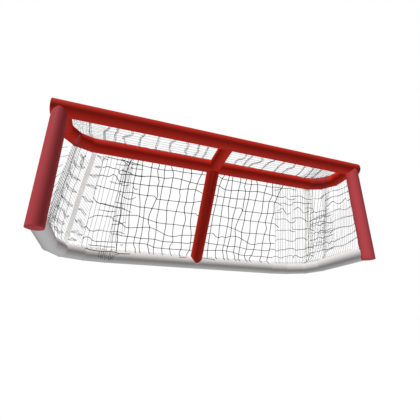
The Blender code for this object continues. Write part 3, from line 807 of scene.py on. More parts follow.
# the side panel leaves the seam just below the shelf and passes outside its tube
SIDE_P = [HEAD_P[5].lerp(FOOT_P[5], 0.12)]
for k, deg, r in ((6, 60, NET_BACK), (7, 15, 0.0500)):
    (p, _), m, t = HEAD[k], HEAD_N[k], math.radians(deg)
    SIDE_P.append(at(p[0], p[1], shelf_height(p[1])) + Vector((m.x, m.y, 0)) * r * math.cos(t) - Z * r * math.sin(t))


def head_of(k):
    return between(HEAD_P, k) if k <= SEAM else between(SIDE_P, k - SEAM)


def smoothstep(a, b, x):
    t = min(max((x - a) / (b - a), 0.0), 1.0)
    return t * t * (3 - 2 * t)


def hang(s, k, v, fold=1.0):
    """Point of the hanging net. k counts the stations round the half s, v runs from the head 0 to the foot 1."""
    h, f = head_of(k), between(FOOT_P, k)
    p = h.lerp(f, v)
    out = between([Vector((m.x, m.y, 0)) for m in FOOT_N], k)
    free = smoothstep(0.055, 0.130, p.x)          # beside the stay, behind which the net has to stay back
    w = max(0.0, (0.215 - p.z) / (0.215 - NET_FOOT)) ** 1.5 * free * fold
    p = p - out * (between(F_OFF, k) + 0.006) * w + Z * 0.003 * w
    q = Vector((s * p.x, p.y, p.z))
    wave = noise.noise(q * 3.1 + Vector((7.3, 1.1, 4.7))) + 0.35 * noise.noise(q * 9.0)
    puff = (0.004 + 0.012 * wave) * math.sin(math.pi * min(max(v, 0.0), 1.0)) ** 0.8
    if free < 1.0:
        puff = max(puff, 0.0) * (1 - free) + puff * free
    p = p + out * puff
    return Vector((s * p.x, p.y, p.z))


def head_wrap(s, k, n=6):
    """From the head of the net round the shelf tube to the edge of the top panel, over it."""
    if s < 0 and 3.0 < k <= SEAM:
        return []
    x, d = between(H_X, k), between(H_D, k)
    m = between([Vector((m.x, m.y, 0)) for m in HEAD_N], k).normalized()
    c = at(x, d, shelf_height(d))
    first = head_of(k) - c
    away = Vector((first.x, first.y, 0)).dot(m)
    r0 = math.hypot(away, first.z)
    deg = math.degrees(math.atan2(-first.z, away))
    inside = s > 0 and 3.0 < k <= SEAM
    end = 270.0 if inside else -90.0
    if inside and deg < 0:
        deg += 360.0
    out = []
    for i in range(1, n + 1):
        t = i / n
        a = math.radians(deg + (end - deg) * t)
        r = r0 + (0.0490 - r0) * smoothstep(0.0, 0.8, t)
        q = c + m * r * math.cos(a) - Z * r * math.sin(a)
        out.append(Vector((s * q.x, q.y, q.z)))
    return out


def hem_point(s, k, fold=0.037):
    """End of a strand at the foot: folded over the upper front of the base tube, or behind it next to the stay."""
    x, d = between(F_X, k), between(F_D, k)
    m = between([Vector((m.x, m.y, 0)) for m in FOOT_N], k).normalized()
    free = smoothstep(0.055, 0.130, x)
    if k > SEAM:
        fold = min(fold, 0.010)
    off = 0.036 - (0.036 + fold) * free
    z = BASE_Z + math.sqrt(0.0478 ** 2 - off * off)
    q = at(x, d, z) + m * off
    return Vector((s * q.x, q.y, q.z))


TOP_FRONT, TOP_REAR = (0.0430, 0.7030), (SHELF_D - 0.0004, 0.6895)
TOP_PLAN = [(0.950, 0.0430), (0.9440, 0.1640), (0.8790, 0.2400), (0.7930, SHELF_D - 0.0004)]


def top_edge(depth):
    """Half width of the top panel at a depth."""
    for (x0, d0), (x1, d1) in zip(TOP_PLAN[:-1], TOP_PLAN[1:]):
        if depth <= d1:
            return x0 + (x1 - x0) * (depth - d0) / (d1 - d0)
    return TOP_PLAN[-1][0]


def top_rear(x):
    """Depth of the rear edge of the top panel at a distance from the middle."""
    x = abs(x)
    if x <= TOP_PLAN[3][0]:
        return TOP_PLAN[3][1]
    for (x1, d1), (x0, d0) in zip(TOP_PLAN[:-1], TOP_PLAN[1:]):
        if x0 <= x <= x1:
            return d0 + (d1 - d0) * (x - x0) / (x1 - x0)
    return TOP_PLAN[0][1]


def top_z(depth):
    return TOP_FRONT[1] + (TOP_REAR[1] - TOP_FRONT[1]) * (depth - TOP_FRONT[0]) / (TOP_REAR[0] - TOP_FRONT[0])


def lid(x, depth):
    """Point of the top panel, which sags a little between the tubes it lies on."""
    a = min(abs(x), 0.93) / 0.93
    sag = 0.011 * math.sin(math.pi * a) ** 0.7 * max(0.0, math.sin(math.pi * min(max((depth - 0.043) / 0.2312, 0.0), 1.0))) ** 0.8
    wave = 0.003 * noise.noise(Vector((x * 9.0, depth * 14.0, 2.0))) * min(1.0, sag / 0.004)
    return at(x, depth, top_z(depth) - sag + wave)


def grid_tree(*grids):
    verts, faces = [], []
    for rows in grids:
        base, n = len(verts), len(rows[0])
        verts += [p for row in rows for p in row]
        for i in range(len(rows) - 1):
            for j in range(n - 1):
                a = base + i * n + j
                faces.append((a, a + 1, a + n + 1, a + n))
    return BVHTree.FromPolygons(verts, faces)


round_k = [5 - i * 0.125 for i in range(33)] + [1 - i / 12 for i in range(1, 13)]
stations = [(-1.0, k) for k in round_k] + [(1.0, k) for k in round_k[::-1][1:]]
HANG = grid_tree([[hang(s, k, v / 44 - 0.03) for v in range(46)] for s, k in stations],
                 [[hang(-1.0, 5.001 + i * 0.1249, v / 44) for v in range(45)] for i in range(17)],
                 [[hang(1.0, 5.001 + i * 0.1249, v / 44) for v in range(45)] for i in range(17)])
LID = grid_tree([[lid(-0.99 + 1.98 * i / 96, 0.02 + 0.27 * j / 16) for j in range(17)] for i in range(97)])


def cast(tree, points):
    """The points of the camera's frame, put on a surface along their lines of sight."""
    out = []
    for px, py in points:
        hit = tree.ray_cast(CAM_AT, ray(px, py))[0]
        if hit is not None:
            out.append(hit)
    return out


def read(view, text):
    """Points read off an enlarged view: its corner in the frame, its scale, and x,y pairs."""
    ox, oy, scale = view
    return [(ox + float(a) / scale, oy + float(b) / scale) for a, b in (pair.split(",") for pair in text.split())]


def smooth(points, step):
    """Centripetal Catmull-Rom curve through the points, read about every step metres."""
    P = [np.array(p, float) for p in points]
    keep = [P[0]]
    for p in P[1:]:
        if np.linalg.norm(p - keep[-1]) > 0.0008:
            keep.append(p)
    P = keep
    if len(P) < 2:
        return P
    P = [2 * P[0] - P[1]] + P + [2 * P[-1] - P[-2]]
    out = []
    for i in range(1, len(P) - 2):
        p0, p1, p2, p3 = P[i - 1], P[i], P[i + 1], P[i + 2]
        t0 = 0.0
        t1 = t0 + max(np.linalg.norm(p1 - p0), 1e-6) ** 0.5
        t2 = t1 + max(np.linalg.norm(p2 - p1), 1e-6) ** 0.5
        t3 = t2 + max(np.linalg.norm(p3 - p2), 1e-6) ** 0.5
        n = max(1, int(math.ceil(np.linalg.norm(p2 - p1) / step)))
        for j in range(n):
            t = t1 + (t2 - t1) * j / n
            a1 = (t1 - t) / (t1 - t0) * p0 + (t - t0) / (t1 - t0) * p1
            a2 = (t2 - t) / (t2 - t1) * p1 + (t - t1) / (t2 - t1) * p2
            a3 = (t3 - t) / (t3 - t2) * p2 + (t - t2) / (t3 - t2) * p3
            b1 = (t2 - t) / (t2 - t0) * a1 + (t - t0) / (t2 - t0) * a2
            b2 = (t3 - t) / (t3 - t1) * a2 + (t - t1) / (t3 - t1) * a3
            out.append((t2 - t) / (t2 - t1) * b1 + (t - t1) / (t2 - t1) * b2)
    out.append(P[-2])
    return out


def station_of(p):
    """Side and station of the foot of the net nearest to a point, and the same for its head."""
    s = -1.0 if p.x < 0 else 1.0
    best = None
    for i in range(141):
        k = i * 0.05
        h, f = head_of(k), between(FOOT_P, k)
        v = (h.z - p.z) / (h.z - f.z)
        q = h.lerp(f, v)
        d = (q.x - abs(p.x)) ** 2 + (q.y - p.y) ** 2
        if best is None or d < best[0]:
            best = (d, k)
    return s, best[1]


def ties(yarn, a_strands, b_strands, size, reach=0.006, **shape):
    """A knot wherever a strand of one set comes as near as reach to a strand of the other."""
    boxes = [(np.array(b), np.array(b).min(0) - reach, np.array(b).max(0) + reach) for b in b_strands]
    for a in a_strands:
        A = np.array(a)
        lo, hi = A.min(0), A.max(0)
        for B, blo, bhi in boxes:
            if (lo > bhi).any() or (hi < blo).any():
                continue
            D = np.linalg.norm(A[:, None, :] - B[None, :, :], axis=2)
            i, j = np.unravel_index(D.argmin(), D.shape)
            if D[i, j] < reach:
                t = A[min(i + 1, len(A) - 1)] - A[max(i - 1, 0)]
                yarn.knot((A[i] + B[j]) / 2, t, size, **shape)


def wavy(points, amount, length, seed):
    """Moves the inner points of a strand a little to and fro, across itself."""
    P = np.array(points, float)
    if len(P) < 3:
        return [Vector(p) for p in P]
    T = np.gradient(P, axis=0)
    T /= np.maximum(np.linalg.norm(T, axis=1), 1e-9)[:, None]
    run = np.concatenate(([0.0], np.cumsum(np.linalg.norm(np.diff(P, axis=0), axis=1))))
    out = []
    for i, p in enumerate(P):
        fade = min(1.0, run[i] / length, (run[-1] - run[i]) / length)
        c = run[i] / length + seed * 13.7
        side = np.cross(T[i], (0.2, 0.3, 0.93)) if abs(T[i][2]) < 0.8 else np.cross(T[i], (0.3, 0.93, 0.2))
        side /= max(np.linalg.norm(side), 1e-9)
        third = np.cross(T[i], side)
        out.append(Vector(p + side * amount * fade * 2 * noise.noise(Vector((c, 0.3, seed)))
                          + third * amount * 0.5 * fade * 2 * noise.noise(Vector((c, 5.3, seed)))))
    return out


# ------------------------------------------------------------------------------------------------ the strands, as they lie
V22, V23, V24 = (120, 150, 13.067), (205, 165, 15.223), (262, 178, 17.422)
V20, V21, V25, V26, V27 = (55, 130, 16.505), (40, 200, 15.68), (65, 108, 19.6), (140, 120, 18.447), (225, 145, 12.346)
PLAIN = (0, 0, 1)

BACK_COLUMNS = [
    (PLAIN, "131.9,159.7 128.3,166.4 126.5,172.4 124.7,181.5 123.2,192.4 121.6,200 121,208.3 120.4,215.3 119.1,221 117.5,231.9 117.2,240.8 115.9,251"),
    (V22, "240,140 215,250 200,330 175,440 165,560 150,640 140,720 120,850 115,980 105,1100 80,1200 75,1280 100,1350"),
    (V22, "297,160 290,260 280,370 265,450 255,560 262,700 255,850 235,960 210,1080 190,1150 180,1250 175,1355"),
    (V22, "425,175 410,260 400,340 380,470 360,590 325,720 310,870 300,960 285,1080 265,1170 250,1270 235,1360"),
    (V22, "515,200 495,260 500,350 510,420 490,480 490,600 475,640 430,740 395,820 370,900 375,970 388,1010 375,1080 375,1160 360,1240 372,1300 372,1375"),
    (V22, "595,210 583,260 575,390 555,470 540,560 525,640 515,700 500,800 480,900 475,1010 470,1070 455,1170 440,1260 425,1380"),
    (V22, "675,220 690,270 700,320 685,400 670,490 640,640 620,700 610,790 608,900 600,970 580,1090 570,1150 560,1200 545,1290 520,1385"),
    (V22, "832,245 825,290 810,380 800,430 785,510 780,560 785,600 770,680 735,800 715,880 700,970 688,1080 688,1200 650,1260 650,1300 672,1360 668,1395"),
    (V22, "932,260 935,330 920,410 895,470 890,520 875,600 865,680 845,740 843,810 855,880 850,940 830,1000 810,1110 800,1200 800,1280 783,1400"),
    (V22, "1080,290 1060,330 1010,440 990,520 970,600 965,680 945,760 935,830 925,900 920,990 930,1100 920,1210 905,1310 880,1405"),
    (V23, "295,160 265,210 220,320 190,470 160,610 125,760 97,920 75,1040 52,1190 40,1300 22,1430"),
    (V23, "372,170 355,235 310,375 292,490 267,615 245,780 222,925 205,1100 185,1210 160,1300 160,1390 175,1445"),
    (V23, "425,185 418,240 402,385 385,505 358,630 360,810 340,935 310,1100 285,1220 265,1300 240,1450"),
    (V23, "543,200 540,265 510,390 490,515 465,655 420,815 403,960 385,1085 345,1240 330,1310 310,1460"),
    (V23, "635,215 615,285 603,340 617,395 600,520 585,600 572,695 510,830 460,980 465,1090 450,1240 435,1330 432,1470"),
    (V23, "708,230 707,290 682,405 662,525 620,700 600,840 558,1025 555,1125 530,1250 512,1360 490,1470"),
    (V23, "787,245 800,300 797,405 768,540 725,715 693,850 680,1040 645,1180 630,1280 600,1380 585,1475"),
    (V23, "945,270 935,325 905,425 885,555 860,735 815,865 780,1045 757,1210 740,1290 705,1380 722,1490"),
    (V23, "1030,290 1028,340 1025,460 980,555 950,740 920,875 935,970 905,1055 875,1190 862,1300 855,1390 830,1495"),
    (V24, "360,140 340,180 270,320 245,390 220,430 205,610 180,700 160,790 130,1000 130,1080 145,1140 130,1245 95,1385 65,1490"),
]

# each row of the back: pieces from the left wing, the left half, the right half and the right wing, in order
BACK_ROWS = [
    [(V20, "830,440 950,465 1050,490"), (V22, "0,130 100,150 230,185 300,205 430,235 600,265 690,265 830,290 935,305 1070,320 1140,330"),
     (V23, "220,180 265,210 355,230 420,240 540,265 615,285 707,297 800,300 935,320"), (V24, "100,150 280,165 345,180 430,185 500,185 545,205 600,210")],
    [(V20, "790,620 830,610 880,605 960,635 1050,655"), (V22, "0,315 90,318 190,330 310,345 400,343 500,355 600,370 690,365 800,385 920,420 1000,440 1060,450 1110,450"),
     (V23, "215,320 265,355 310,375 400,388 510,388 615,398 680,405 800,405 905,425 1025,460"), (V24, "270,325 340,338 380,335 405,320")],
    [(V20, "735,760 770,745 830,760 900,765 960,735 1000,750 1030,800 1050,835"), (V22, "0,410 100,425 170,435 270,450 380,465 480,470 555,478 670,490 790,515 860,510 900,512 985,520 1040,545 1085,570"),
     (V23, "165,465 190,475 290,490 385,505 490,517 600,520 662,525 768,540 885,555 980,553"), (V24, "100,405 230,425 260,430 310,460 350,480")],
    [(V20, "690,915 830,955 970,990 1050,1010"), (V22, "0,540 45,555 150,555 250,580 360,597 450,605 480,640 530,648 635,660 770,675 870,685 960,685 1065,670"),
     (V23, "135,605 265,615 358,632 465,655 550,660 572,695 620,708 725,717 860,735 950,738"), (V24, "100,610 210,615 240,605 330,600 345,580")],
    [(V20, "990,1185 1040,1200"), (V22, "0,695 100,710 140,715 260,745 320,750 430,765 500,775 610,790 730,803 840,818 935,830 985,830 1020,860"),
     (V23, "100,755 150,765 245,785 300,795 360,812 420,815 510,830 600,840 693,852 815,865 920,878 1010,888"), (V24, "140,792 210,795 290,865")],
    [(V21, "1150,260 1210,245"), (V22, "0,855 210,855 240,862 310,890 375,910 475,945 600,965 700,972 830,990 920,998 985,1003"),
     (V23, "55,940 97,920 225,920 340,935 403,960 460,980 558,1025 680,1040 780,1045 905,1055 985,1070"), (V24, "120,1000 205,1003 250,1015")],
    [(V22, "20,960 80,1010 220,1013 290,1010 390,1013 475,1045 560,1090 620,1120 700,1130 800,1115 930,1115 970,1115"),
     (V23, "50,1045 120,1040 160,1085 205,1105 260,1090 310,1105 385,1085 465,1088 520,1105 558,1128 645,1180 700,1208 757,1210 820,1195 875,1192 990,1195"), (V24, "150,1140 215,1140")],
    [(V21, "1120,535 1210,535"), (V22, "0,1115 100,1130 190,1140 270,1155 375,1160 460,1170 560,1195 690,1205 800,1213 880,1220 955,1208"),
     (V23, "0,1175 52,1190 185,1212 285,1222 345,1240 450,1240 530,1255 630,1280 740,1287 862,1300 970,1300"), (V24, "140,1240 215,1245")],
    [(V21, "670,605 710,578 780,590 820,630 880,650 1000,650 1100,660 1210,660"), (V22, "0,1210 80,1215 180,1215 260,1220 360,1235 440,1270 545,1285 660,1295 800,1303 920,1310"),
     (V23, "0,1300 160,1300 265,1300 330,1312 435,1330 512,1360 600,1380 705,1378 740,1388 855,1392 950,1405"), (V24, "100,1385 185,1385")],
]

# lighter rows of the two wings, the right corner and the right side
LEFT_ROWS = [
    (V20, "1050,490 1130,495 1180,520 1240,550 1300,570 1370,575 1450,585"), (V20, "1110,500 1150,530 1210,600 1190,680"),
    (V20, "1110,665 1190,690 1250,720 1320,750 1420,765 1500,770"), (V20, "1060,680 1120,665 1180,700"), (V20, "1250,620 1300,635 1380,645 1460,655"),
    (V20, "1050,850 1110,910 1150,920 1240,905"), (V20, "1290,920 1320,980 1380,970"),
    (V20, "1050,1030 1110,1090 1160,1125 1260,1140 1340,1105"), (V20, "640,1110 690,1190 830,1230 970,1265 1080,1285 1150,1300"),
    (V21, "860,0 900,40 1000,60 1110,90 1270,130 1340,155 1440,195"), (V21, "765,290 850,250 920,240 1000,250 1130,275 1150,320 1230,335 1280,370 1350,430 1390,432"),
    (V21, "725,410 780,475 850,485 920,470 1000,485 1080,500 1200,495 1300,520 1340,540"), (V21, "1120,385 1200,380 1280,365 1340,350"),
    (V21, "755,700 830,712 950,720 1060,735 1180,742"), (V21, "1250,690 1280,715 1300,690"),
    (V20, "1000,560 1080,575 1160,580 1230,575"), (V20, "900,850 980,870 1060,890 1130,880"), (V21, "900,150 1000,165 1090,180 1180,180"),
]
RIGHT_ROWS = [
    "200,210 290,205 340,185", "405,320 440,355 480,375 540,375 590,355", "500,325 580,318 670,318 720,345 760,365 860,375",
    "900,360 1010,360 1045,345 1080,300", "330,440 400,440 430,465 520,465 540,430 690,430 720,445 860,445 880,450",
    "270,570 310,555 345,525 370,540 400,590 440,630 500,605", "540,560 580,545 620,515 660,530 700,590 735,610 790,590 820,575",
    "755,525 830,520 880,535 900,570 880,610", "210,715 300,720 410,715 450,745 480,775 550,775 580,740 580,705",
    "520,705 600,695 700,700 750,735 800,765 850,745 890,720", "240,910 380,912 490,910 520,930 570,935",
    "515,850 540,890 600,897 740,895 790,880 840,885 870,910 910,915", "235,1100 260,1075 330,1068 400,1068 430,1090 500,1100 560,1095 590,1060 650,1050 740,1050 760,1075 800,1080",
    "220,1250 250,1275 290,1260 350,1250 400,1250 440,1235 540,1230 590,1260 640,1245 740,1240 790,1210 850,1205 910,1225",
    "185,1370 265,1370 300,1390 350,1390 390,1370 430,1370 480,1350 520,1350 545,1400 560,1355 600,1355 650,1380 710,1380 750,1360 830,1345 900,1360",
]
SIDE_ROWS = [
    "1010,345 1080,300 1140,265 1200,230 1260,215 1310,210 1380,190 1480,140", "1100,395 1140,375 1220,325 1300,320 1380,290 1430,260 1500,235",
    "1110,510 1160,470 1200,430 1240,405 1290,440 1340,450 1390,425 1420,390 1455,355 1495,395 1520,370",
    "840,750 880,730 940,695 1000,665 1100,640 1170,610 1230,580 1320,545 1450,550 1520,515 1568,480",
    "1130,775 1190,790 1240,765 1320,720 1400,695 1440,680 1500,670 1568,655",
    "960,980 1000,965 1060,950 1130,945 1180,920 1245,905 1300,880 1380,855 1480,845 1568,830", "1165,990 1210,935 1245,910",
    "1205,1100 1260,1105 1310,1075 1370,1050 1440,1020 1500,980 1568,960", "1110,1290 1200,1220 1300,1190 1400,1180 1480,1140 1568,1090",
    "825,830 900,795 960,780 1040,750 1100,760", "935,1140 1000,1115 1060,1140",
]
LEFT_UPRIGHTS = [((102.9, 160.3), (81.8, 245.0)), ((107.7, 160.3), (85.6, 246.0)), ((111.3, 160.5), (90.0, 246.5)),
                 ((117.4, 161.0), (94.2, 247.3)), ((121.3, 161.5), (99.0, 248.0)), ((125.3, 162.0), (102.8, 248.5)),
                 ((127.7, 162.3), (106.3, 249.0)), ((130.2, 162.8), (109.5, 249.5)), ((132.6, 163.0), (113.0, 250.0))]
LEFT_EDGE = "105.3,156.7 102.9,161.5 102.3,166.4 99.8,175.4 96.8,185.4 94.4,190.6 93.8,197.3 92.9,201.3 90.4,209.6 88.8,216.6 86.2,225.5 84.6,233.2 80.8,244.6"
TOP_STRANDS = [
    (V25, "490,290 495,400 490,480 520,540"), (V25, "870,370 850,410 780,460 775,540 770,640"),
    (V25, "1035,410 1030,460 985,510 980,580 970,665"), (V25, "1330,470 1320,520 1150,580 1150,610 1190,660 1200,715"),
    (V25, "1560,530 1490,570 1470,640 1450,755"), (V26, "355,325 330,400 310,470 285,550"), (V26, "650,380 575,415 560,470 550,540 570,595"),
    (V26, "875,430 890,480 860,530 835,570 855,640"), (V26, "1090,470 1070,540 1075,570 1035,625 975,680"),
    (V26, "1260,500 1230,560 1215,610 1170,715"), (V27, "265,120 235,165 160,185 110,250"), (V27, "340,135 280,190 215,260"),
    (V27, "460,165 465,190 430,210 330,240 310,280"), (V27, "610,195 550,215 510,250 450,300"), (V27, "730,220 690,240 600,330"),
    (V27, "860,245 850,270 770,300 720,360"), (V27, "985,270 960,300 930,340 880,380"), (V27, "1085,300 1050,340 1000,390"),
    (V27, "1180,315 1120,370 1080,400"),
]

DARK_R, THIN_R = 0.0026, 0.00110


def bundle(yarn, line, count, spread, radius, seed, sides=5, fade=True, level=False, wander=16.0):
    """Several thin strands that run loosely side by side, closing up towards both ends."""
    P = np.array(line, float)
    if len(P) < 3:
        return
    T = np.gradient(P, axis=0)
    T /= np.maximum(np.linalg.norm(T, axis=1), 1e-9)[:, None]
    run = np.concatenate(([0.0], np.cumsum(np.linalg.norm(np.diff(P, axis=0), axis=1))))
    for m in range(count):
        out = []
        for i, p in enumerate(P):
            open_ = min(1.0, run[i] / 0.03, (run[-1] - run[i]) / 0.03) if fade else 1.0
            a = (m + 0.5) / count * 2 - 1 if count > 1 else 0.0
            a = (a + 0.9 * noise.noise(Vector((run[i] * wander, m * 3.1, seed * 1.7)))) * (0.25 + 0.75 * open_)
            b = 0.8 * noise.noise(Vector((run[i] * 12.0, m * 2.3 + 40, seed * 1.1)))
            ref = np.array((0.2, 0.25, 0.95)) if abs(T[i][2]) < 0.75 else np.array((0.75, 0.65, 0.1))
            third = np.cross(T[i], ref)
            third /= max(np.linalg.norm(third), 1e-9)
            side = np.cross(third, T[i])
            if level:
                side, third = third, side
            out.append(p + (side * a + third * b * 0.35) * spread)
        yarn.strand(out, radius, sides=sides)


# ------------------------------------------------------------------------------------------------ back of the net
def down_to_hem(points):
    """Leads a strand from its lowest point over the base tube to the selvedge."""
    last = points[-1]
    s, k = station_of(last)
    hem = hem_point(s, k)
    if last.z > 0.125:
        points.append(hang(s, k, 0.97))
    lip = hang(s, k, 1.0)
    while len(points) > 2 and points[-1].z < lip.z + 0.004:
        points.pop()
    over = lip.lerp(hem, 0.45) + Z * 0.0022
    return points + [lip, over, hem]


def up_to_lid(points):
    """Leads a strand from its highest point round the shelf tube to the edge of the top panel."""
    first = points[0]
    s, k = station_of(first)
    h = hang(s, k, 0.0)
    while len(points) > 2 and points[0].z > h.z - 0.012:
        points.pop(0)
    return head_wrap(s, k)[::-1] + [h] + points


back = Yarn()
columns = []
for n, (view, text) in enumerate(BACK_COLUMNS):
    points = cast(HANG, read(view, text))
    line = smooth(down_to_hem(up_to_lid(points)), 0.010)
    columns.append(line)
    back.strand(line, DARK_R * (1.12 if n == 0 else 1.0), sides=6)
rows = []
for n, parts in enumerate(BACK_ROWS):
    points = []
    for view, text in parts:
        points += cast(HANG, read(view, text))
    keep = [points[0]]
    for p in points[1:]:
        if p.x > keep[-1].x + 0.004:
            keep.append(p)
    line = smooth(keep, 0.010)
    rows.append(line)
    back.strand(line, DARK_R * 0.96, sides=6)
ties(back, rows, columns, 0.0040, reach=0.009)
back.build("net_back_mesh", TWINE, "twine", ("net_back",))


# ------------------------------------------------------------------------------------------------ wings, corners and sides
def upright(s, k0, k1=None, v0=0.0, wrap=True, wave=0.004, seed=0.0, hem=True):
    """Strand down the net from station k0 at the head to k1 at the foot."""
    k1 = k0 if k1 is None else k1
    n = 12
    pts = [hang(s, k0 + (k1 - k0) * i / n, v0 + (1 - v0) * i / n) for i in range(n + 1)]
    pts = wavy(pts, wave, 0.11, seed)
    if hem:
        lip = pts[-1]
        hp = hem_point(s, k1)
        pts += [lip.lerp(hp, 0.45) + Z * 0.0022, hp]
    if wrap and v0 == 0.0:
        pts = head_wrap(s, k0)[::-1] + pts
    return smooth(pts, 0.012)


def arc_stations(k0, k1, pitch):
    """Stations between k0 and k1 that are a pitch apart along the foot."""
    fine = [k0 + (k1 - k0) * i / 400 for i in range(401)]
    run, last, out = 0.0, between(FOOT_P, k0), []
    target = pitch * 0.5
    for k in fine[1:]:
        p = between(FOOT_P, k)
        run += (p - last).length
        last = p
        if run >= target:
            out.append(k)
            target += pitch
    return out


def side_upright(s, depth, lean, wave, seed):
    """Strand of the side panel that hangs nearly plumb at a depth, from the shelf or from the corner seam down."""
    pts = []
    top_k, n = None, 16
    for i in range(n + 1):
        v = i / n
        z = SIDE_P[1].z * (1 - v) + NET_FOOT * v
        want = FRONT + depth + lean * (z - NET_FOOT)
        lo, hi = hang(1.0, SEAM + 0.001, v), hang(1.0, POST, v)
        if want > lo.y or want < hi.y:
            continue
        a, b = SEAM + 0.001, float(POST)
        for _ in range(22):
            mid = (a + b) / 2
            if hang(1.0, mid, v).y > want:
                a = mid
            else:
                b = mid
        k = (a + b) / 2
        if top_k is None:
            top_k = (k, v)
        pts.append(hang(s, k, v))
    if len(pts) < 3:
        return None
    pts = wavy(pts, wave, 0.10, seed)
    if pts[-1].z < 0.12:
        s_, k = station_of(pts[-1])
        hp = hem_point(s, k)
        pts += [pts[-1].lerp(hp, 0.45) + Z * 0.0022, hp]
    if top_k[1] == 0.0:
        pts = head_wrap(s, top_k[0])[::-1] + pts
    return smooth(pts, 0.012)


thin = {-1.0: [], 1.0: []}
fan = []
for n, (a, b) in enumerate(LEFT_UPRIGHTS):
    pts = cast(HANG, [(a[0] + (b[0] - a[0]) * i / 8, a[1] + (b[1] - a[1]) * i / 8) for i in range(9)])
    pts = wavy(pts, 0.003, 0.12, n * 1.7)
    thin[-1.0].append(smooth(down_to_hem(up_to_lid(pts)), 0.012))
for n, text in enumerate(("125.9,162.9 120.9,190 116.2,214.3 112.3,242.9", "131.6,168.6 128.7,178.6 127.3,192.9 125.1,203.6 123.4,217.9 121.6,235.7",
                          "133,166.4 130.9,178.6 129.4,192.9 127.6,204.3 125.9,217.9 124.1,232.1", "123,167.9 118.7,188.6 114.4,214 110,243",
                          "133.7,163 129.4,171.4 126.9,184.3 125.2,192")):
    thin[-1.0].append(smooth(wavy(cast(HANG, read((0, 0, 1), text)), 0.0015, 0.12, n * 1.3), 0.012))
n, px = 0, 275.6
while px < 309.5:
    top, low = 184.5 + (px - 283.2) * 0.02, 262.0 + (px - 264.0) * 0.09 - max(0.0, px - 304.0) * 0.25
    pts = cast(HANG, [(px + 0.35 * math.sin(n * 1.9 + i * 0.7), top + 4.0 + (low - top - 5.0) * i / 10) for i in range(11)])
    thin[1.0].append(smooth(down_to_hem(up_to_lid(pts)), 0.012))
    px += 2.45 if px < 304.0 else 1.75
    n += 1
for s in (-1.0, 1.0):
    for n, k in enumerate(arc_stations(3.12, 4.9, 0.024 if s > 0 else 0.048)):
        thin[s].append(upright(s, k, seed=60 + n + 9 * s, wave=0.004))
    n = 0
    if s > 0:
        for k in arc_stations(SEAM + 0.06, POST - 0.06, 0.0235):
            fan.append(upright(s, k, v0=0.0 if n % 2 == 0 else 0.34 + 0.05 * math.sin(n * 1.9), seed=140 + n, wave=0.0022))
            n += 1
    d = 0.075 if s < 0 else 1.0
    while d < 0.43:
        line = side_upright(s, d, 0.10, 0.0035, 90 + n + 7 * s)
        if line:
            thin[s].append(line)
        d += 0.026
        n += 1

grey = {-1.0: [], 1.0: []}
for view, text in LEFT_ROWS:
    grey[-1.0].append(smooth(cast(HANG, read(view, text)), 0.010))
for text in RIGHT_ROWS:
    grey[1.0].append(smooth(cast(HANG, read(V24, text)), 0.010))
for text in SIDE_ROWS:
    line = smooth(cast(HANG, read(V24, text)), 0.010)
    if len(line) < 3:
        continue
    # lead the row on to the edge of the net at the post
    s_, k = station_of(Vector(line[-1]))
    if k > 6.2:
        v = (SIDE_P[2].z - line[-1][2]) / (SIDE_P[2].z - NET_FOOT)
        line = smooth([Vector(p) for p in line[::3]] + [hang(1.0, 7.0, min(max(v - 0.02, 0.02), 0.98))], 0.010)
    grey[1.0].append(line)

soft_rows, fine = {-1.0: [], 1.0: []}, {-1.0: [], 1.0: []}


def mark(points, y):
    """x of a traced line at height y of the frame."""
    for (x0, y0), (x1, y1) in zip(points[:-1], points[1:]):
        if min(y0, y1) <= y <= max(y0, y1):
            return x0 + (x1 - x0) * (y - y0) / (y1 - y0)
    (x0, y0), (x1, y1) = (points[:2] if y < points[0][1] else points[-2:])
    return x0 + (x1 - x0) * (y - y0) / (y1 - y0)


POST_LINE = [(66.9, 127.5), (64.8, 137.7), (60.3, 160.0), (52.1, 200.0), (47.7, 221.0), (44.8, 236.0)]
BAND_LINE = [(72.8, 144.4), (68.9, 154.3), (64.5, 166.1), (59.8, 177.1), (56.5, 187.3), (52.8, 198.3), (49.9, 209.3), (48.4, 218.8), (46.5, 231.0)]
SEAM_LINE = [(78.6, 145.0), (73.2, 161.5), (69.5, 171.8), (65.9, 183.3), (61.0, 196.6), (56.8, 208.0), (50.5, 228.0), (49.0, 243.0)]
TAPE_LINE = [(95.0, 148.0), (92.9, 154.2), (73.2, 210.0), (64.4, 240.6), (62.6, 248.0)]
EDGE_LINE = read(PLAIN, LEFT_EDGE)


def hatch(out, line0, line1, y0, y1, step, slope, reach=1.0):
    """Level strands of the fine mesh, which the camera sees running down to the right between two lines."""
    y = y0
    while y < y1:
        x0 = mark(line0, y)
        pts, x, yy = [], x0, y
        while x < mark(line1, yy) + 0.3 and len(pts) < 40:
            pts.append((x, yy + 0.35 * math.sin(x * 1.3 + y * 0.8)))
            x += 0.9
            yy += 0.9 * slope
        hit = cast(HANG, pts)
        if len(hit) > 2 and hit[-1].z > 0.1:
            out.append(smooth(hit, 0.012))
        y += step


